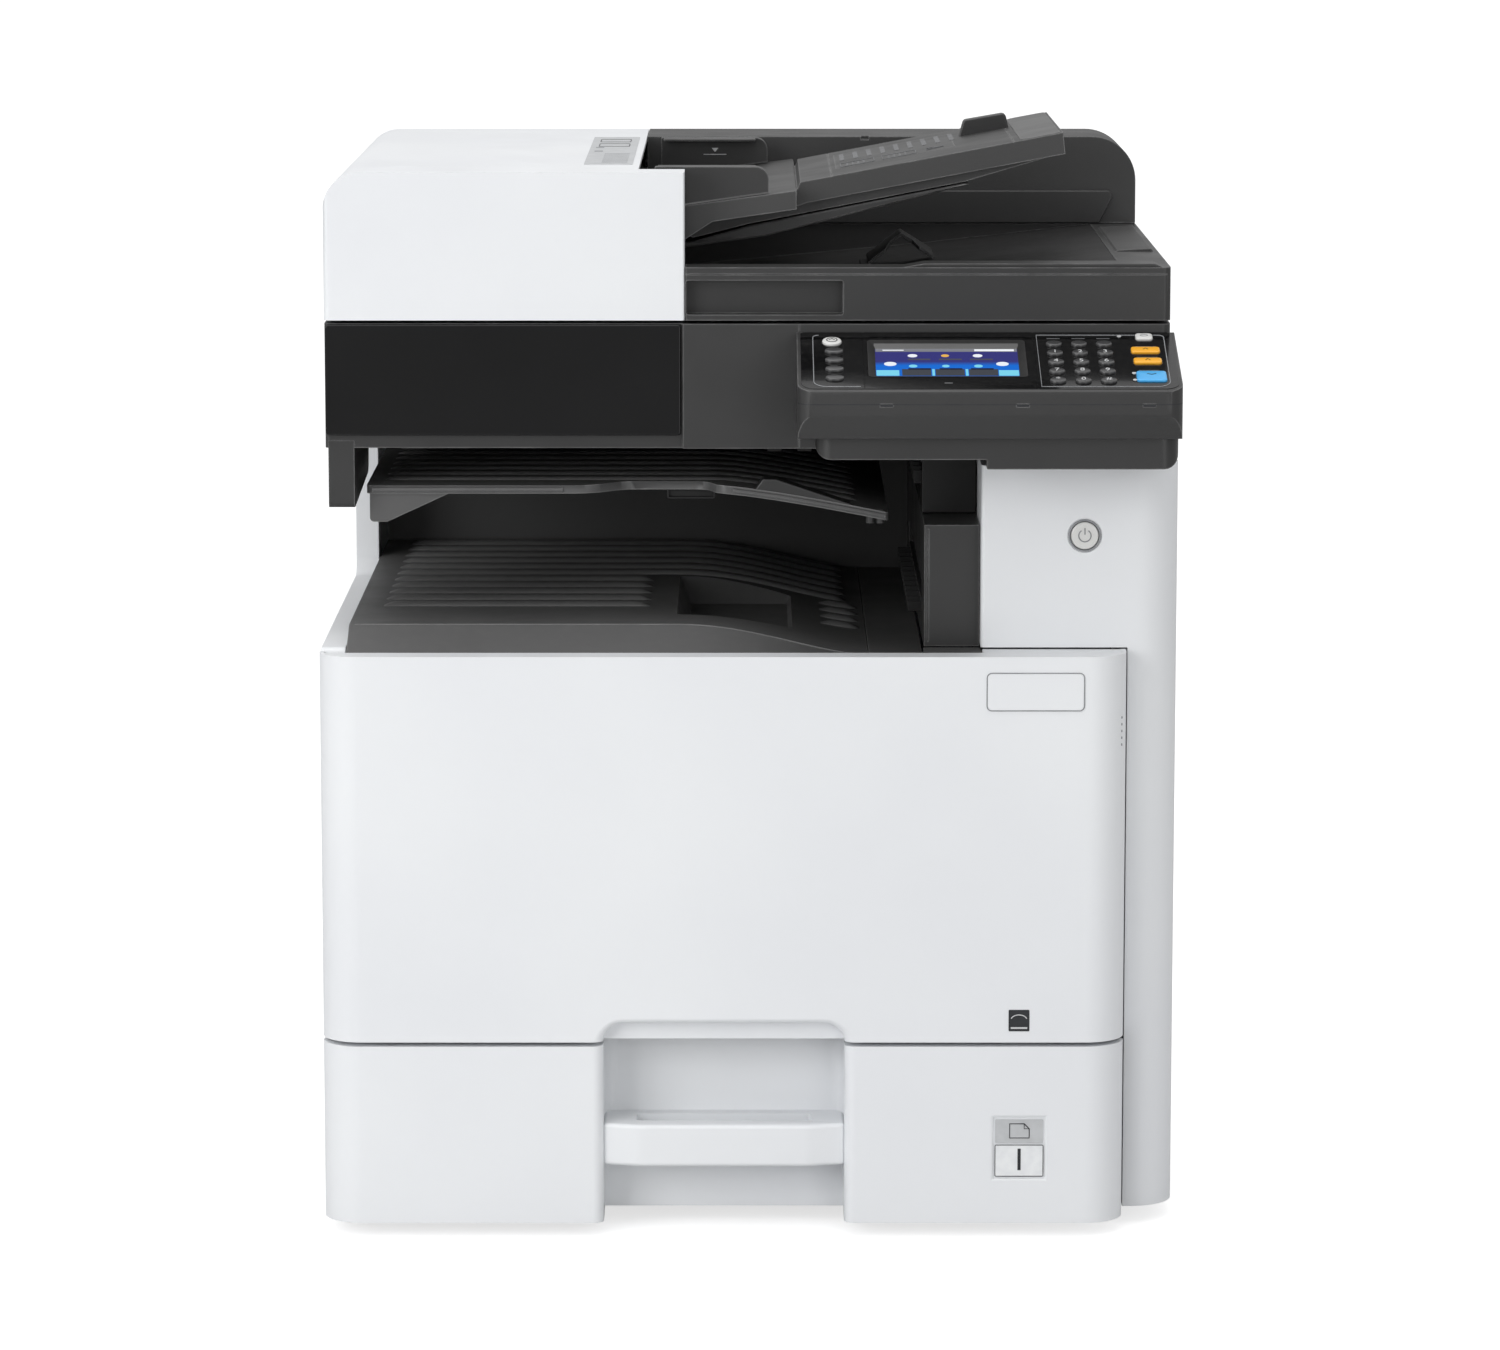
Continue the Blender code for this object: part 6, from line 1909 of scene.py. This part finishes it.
@dataclass
class DocumentTable:
    """The sloping document table with its two sliding guides."""

    fold_x: float = 0.032
    low_x: float = -0.0745
    low_z: float = 0.7
    fold_z: float = 0.7145
    step_z: float = 0.7185
    high_x: float = 0.218
    high_z: float = 0.753

    def slope_matrix(self) -> Matrix:
        """Takes (up the slope, y, out of the surface) from the step's upper edge to the machine."""
        tilt = math.atan2(self.high_z - self.step_z, self.high_x - 0.035)
        return Matrix.Translation((0.035, 0, self.step_z)) @ Matrix.Rotation(-tilt, 4, "Y")

    def table(self) -> Thing:
        """The table: a wide hopper at the left, a step, and the narrower rising tray."""
        hopper = [(self.low_x, self.low_z), (0.031, self.fold_z), (0.033, 0.7135), (0.035, self.step_z)]
        hopper += [(self.high_x, self.high_z), (0.2195, 0.738), (0.04, 0.704), (0.032, 0.7015)]
        hopper += [(-0.026, 0.693), (-0.046, 0.68), (self.low_x, 0.68)]
        table = prism("document_table_deck", hopper, Axis.Y, -0.15, 0.178)
        for low, high in ((-0.17, -0.122), (0.116, 0.2)):
            combine(table, box("side", (self.fold_x + 0.0002, low, 0.66), (0.24, high, 0.78)))
        lines = boxes("lines", row((0.022, -0.13, -0.0004), (0.0006, 0.26, 0.0104), (0.129, 0, 0), 2))
        lines.data.transform(self.slope_matrix())
        combine(table, lines)
        return soften(table, 0.0014, 3, 38)

    def end_cap(self) -> Thing:
        """The paler cap over the table's free end."""
        outline = panel_outline(0.156, 0.1845, -0.1205, 0.1145, 0.006, 5)
        cap = prism("document_table_end", outline, Axis.Z, -0.002, 0.0006)
        cap.data.transform(self.slope_matrix())
        return soften(cap, 0.0005, 2)

    def stopper(self) -> Thing:
        """The stopper block near the free end."""
        side = [(0.149, 0.735, 0), (0.188, 0.74, 0), (0.184, 0.7574, 0.003), (0.154, 0.7522, 0.003)]
        return soften(prism("document_stopper", rounded(side, 4), Axis.Y, 0.03, 0.044), 0.001)

    def pictogram(self) -> tuple[Thing, Thing]:
        """A generic loading diagram printed on the table: sheets, an arrow and plain rules."""
        lines = []
        for u in (0.03, 0.06):
            sheet = panel_outline(u, u + 0.024, -0.055, -0.02, 0.001, 2)
            lines.append(tube("sheet", laid(sheet, Axis.Z, 0.0002), 0.0004, True))
            rules = row((u + 0.004, -0.05, 0), (0.0012, 0.024, 0.0003), (0.004, 0, 0), 4)
            lines.append(boxes("rules", rules))
        arrow = [(0.092, -0.045), (0.104, -0.037), (0.092, -0.029)]
        lines.append(tube("arrow", laid(arrow, Axis.Z, 0.0002), 0.0005, True))
        lines.append(boxes("rules", row((0.03, 0.01, 0), (0.0035, 0.065, 0.0003), (0.01, 0, 0), 9)))
        merged = merge("loading_diagram", lines)
        merged.data.transform(self.slope_matrix())
        backing = panel_outline(0.026, 0.112, -0.06, 0.082, 0.002, 3)
        backing = prism("loading_diagram_backing", backing, Axis.Z, -PROUD, 0.00005)
        backing.data.transform(self.slope_matrix())
        return merged, backing

    def guides(self) -> None:
        """The two guides, their top lips and the arrow on the rear one."""
        fence = [(-0.066, 0.7025, 0), (0.013, 0.7132, 0), (0.013, 0.731, 0.009), (-0.066, 0.731, 0.001)]
        fence = rounded(fence, 8)
        for name, side, inner in (("document_guide_front", -1, -0.14), ("document_guide_rear", 1, 0.165)):
            low, high = sorted((inner, inner + side * 0.01))
            guide = prism(name + "_fence", fence, Axis.Y, low, high)
            low, high = sorted((inner, inner - side * 0.012))
            lip = box("lip", (-0.064, low, 0.7289), (0.004, high, 0.7308))
            combine(guide, soften_now(lip, 0.0006, 2), Join.ADD)
            place(soften(guide, 0.0012, 3, 40), SATIN, name, [name])
        low, high = 0.1646, 0.1652
        outline = [(-0.0285, 0.7235), (-0.0235, 0.7235), (-0.026, 0.7205)]
        triangle = prism("triangle", outline, Axis.Y, low, high)
        rule = box("rule", (-0.0345, low, 0.7185), (-0.0175, high, 0.719))
        place(merge("fill_limit_mark", [triangle, rule]), PALE, "document_guide_rear")

    def build(self) -> None:
        """Builds the table."""
        place(self.table(), TEXTURED, "document_table", ["document_table"])
        place(self.end_cap(), PALE_SATIN, "document_table")
        web = [(-0.044, 0.6815), (-0.04, 0.679), (0.0, 0.689), (0.15, 0.7183), (0.215, 0.7374)]
        web += [(0.04, 0.7042), (0.032, 0.7017), (-0.026, 0.6932)]
        place(prism("document_table_web", web, Axis.Y, -0.1135, -0.1115), TEXTURED, "document_table")
        place(self.stopper(), SATIN, "document_table")
        marks, backing = self.pictogram()
        place(backing, SATIN, "document_table")
        place(marks, PICTOGRAM, "document_table")
        self.guides()


# ------------------------ studio
@dataclass(frozen=True)
class SoftLight:
    """One large soft lamp."""

    name: str
    spot: Place
    aim: Place
    size: float
    power: float

    def build(self) -> None:
        """Hangs the lamp and points it."""
        lamp = bpy.data.lights.new(self.name, "AREA")
        lamp.shape = "SQUARE"
        lamp.size = self.size
        lamp.energy = self.power
        holder = bpy.data.objects.new(self.name, lamp)
        holder.location = self.spot
        holder.rotation_euler = (Vector(self.aim) - Vector(self.spot)).to_track_quat("-Z", "Y").to_euler()
        bpy.context.scene.collection.objects.link(holder)


@dataclass
class Studio:
    """A pale floor, even soft light and the camera."""

    floor_size: float = 60.0
    camera_spot: Place = (0.0, -4.265, 1.013)
    camera_pitch: float = 8.807
    lens: float = 142.65

    def floor(self) -> None:
        """The pale floor, which reaches out of sight."""
        half = self.floor_size
        floor = prism("studio_floor", ellipse(0, 0, half, half, 96), Axis.Z, -0.02, -0.0002)
        made, sheet, shader, vector = principled("studio_floor_paint")
        paint, drift = (0.62, 0.62, 0.62, 1), (0.61, 0.61, 0.61, 1)
        colours = {"Vector": vector, "Colour": paint, "Drift": drift, "Scale": 0.5}
        sheet.put(shader.inputs["Base Color"], sheet.group("moulded_tone", colours).outputs[0])
        seen = sheet.node("ShaderNodeLightPath").outputs["Is Camera Ray"]
        sheet.put(shader.inputs["Emission Color"], sheet.mix(seen, (0, 0, 0, 1), (0.7, 0.7, 0.7, 1)))
        shader.inputs["Emission Strength"].default_value = 1.0
        shader.inputs["Roughness"].default_value = 0.9
        shader.inputs["Specular IOR Level"].default_value = 0.1
        floor.data.materials.append(made)

    def light(self) -> None:
        """Even light from a pale room, brighter overhead, with a soft key from the front left."""
        world = bpy.data.worlds.new("studio_room")
        bpy.context.scene.world = world
        world.use_nodes = True
        sheet = NodeSheet(world.node_tree)
        ground = world.node_tree.nodes["Background"]
        ray = sheet.node("ShaderNodeTexCoord").outputs["Generated"]
        height = sheet.node("ShaderNodeSeparateXYZ", {0: ray}).outputs["Z"]
        room = sheet.mix(sheet.spread(height, 0, 1, 0.0, 0.9), (0.36, 0.36, 0.365, 1), (0.84, 0.84, 0.84, 1))
        seen = sheet.node("ShaderNodeLightPath").outputs["Is Camera Ray"]
        sheet.put(ground.inputs["Color"], sheet.mix(seen, room, (1, 1, 1, 1)))
        for lamp in (
            SoftLight("key_lamp", (-1.6, -2.1, 1.15), (0, 0, 0.36), 1.4, 23),
            SoftLight("fill_lamp", (1.4, -3.2, 0.7), (0, 0, 0.4), 1.4, 10),
            SoftLight("top_lamp", (-0.3, -0.4, 3.0), (0, 0, 0.6), 2.0, 24),
        ):
            lamp.build()
        bpy.context.scene.view_settings.view_transform = "Standard"

    def camera(self) -> None:
        """A long lens at chest height, tipped down a little."""
        lens = bpy.data.cameras.new("studio_camera")
        lens.sensor_width = 36.0
        lens.lens = self.lens
        lens.clip_end = 200.0
        camera = bpy.data.objects.new("studio_camera", lens)
        camera.location = self.camera_spot
        camera.rotation_euler = (math.radians(90 - self.camera_pitch), 0, 0)
        bpy.context.scene.collection.objects.link(camera)
        bpy.context.scene.camera = camera

    def build(self) -> None:
        """Sets the studio up."""
        self.floor()
        self.light()
        self.camera()


def main() -> None:
    """Builds every sub-assembly and the studio."""
    logging.basicConfig(level=logging.INFO, format="%(name)s: %(message)s")
    Studio().build()
    for assembly in (Base(), OuterCovers(), FrontCover(), Cassette(), Engine(), ExitSpace(), Scanner(),
                     OperatingPanel(), Feeder(), DocumentTable()):
        LOG.info("building %s", type(assembly).__name__)
        assembly.build()


if __name__ == "__main__":
    main()
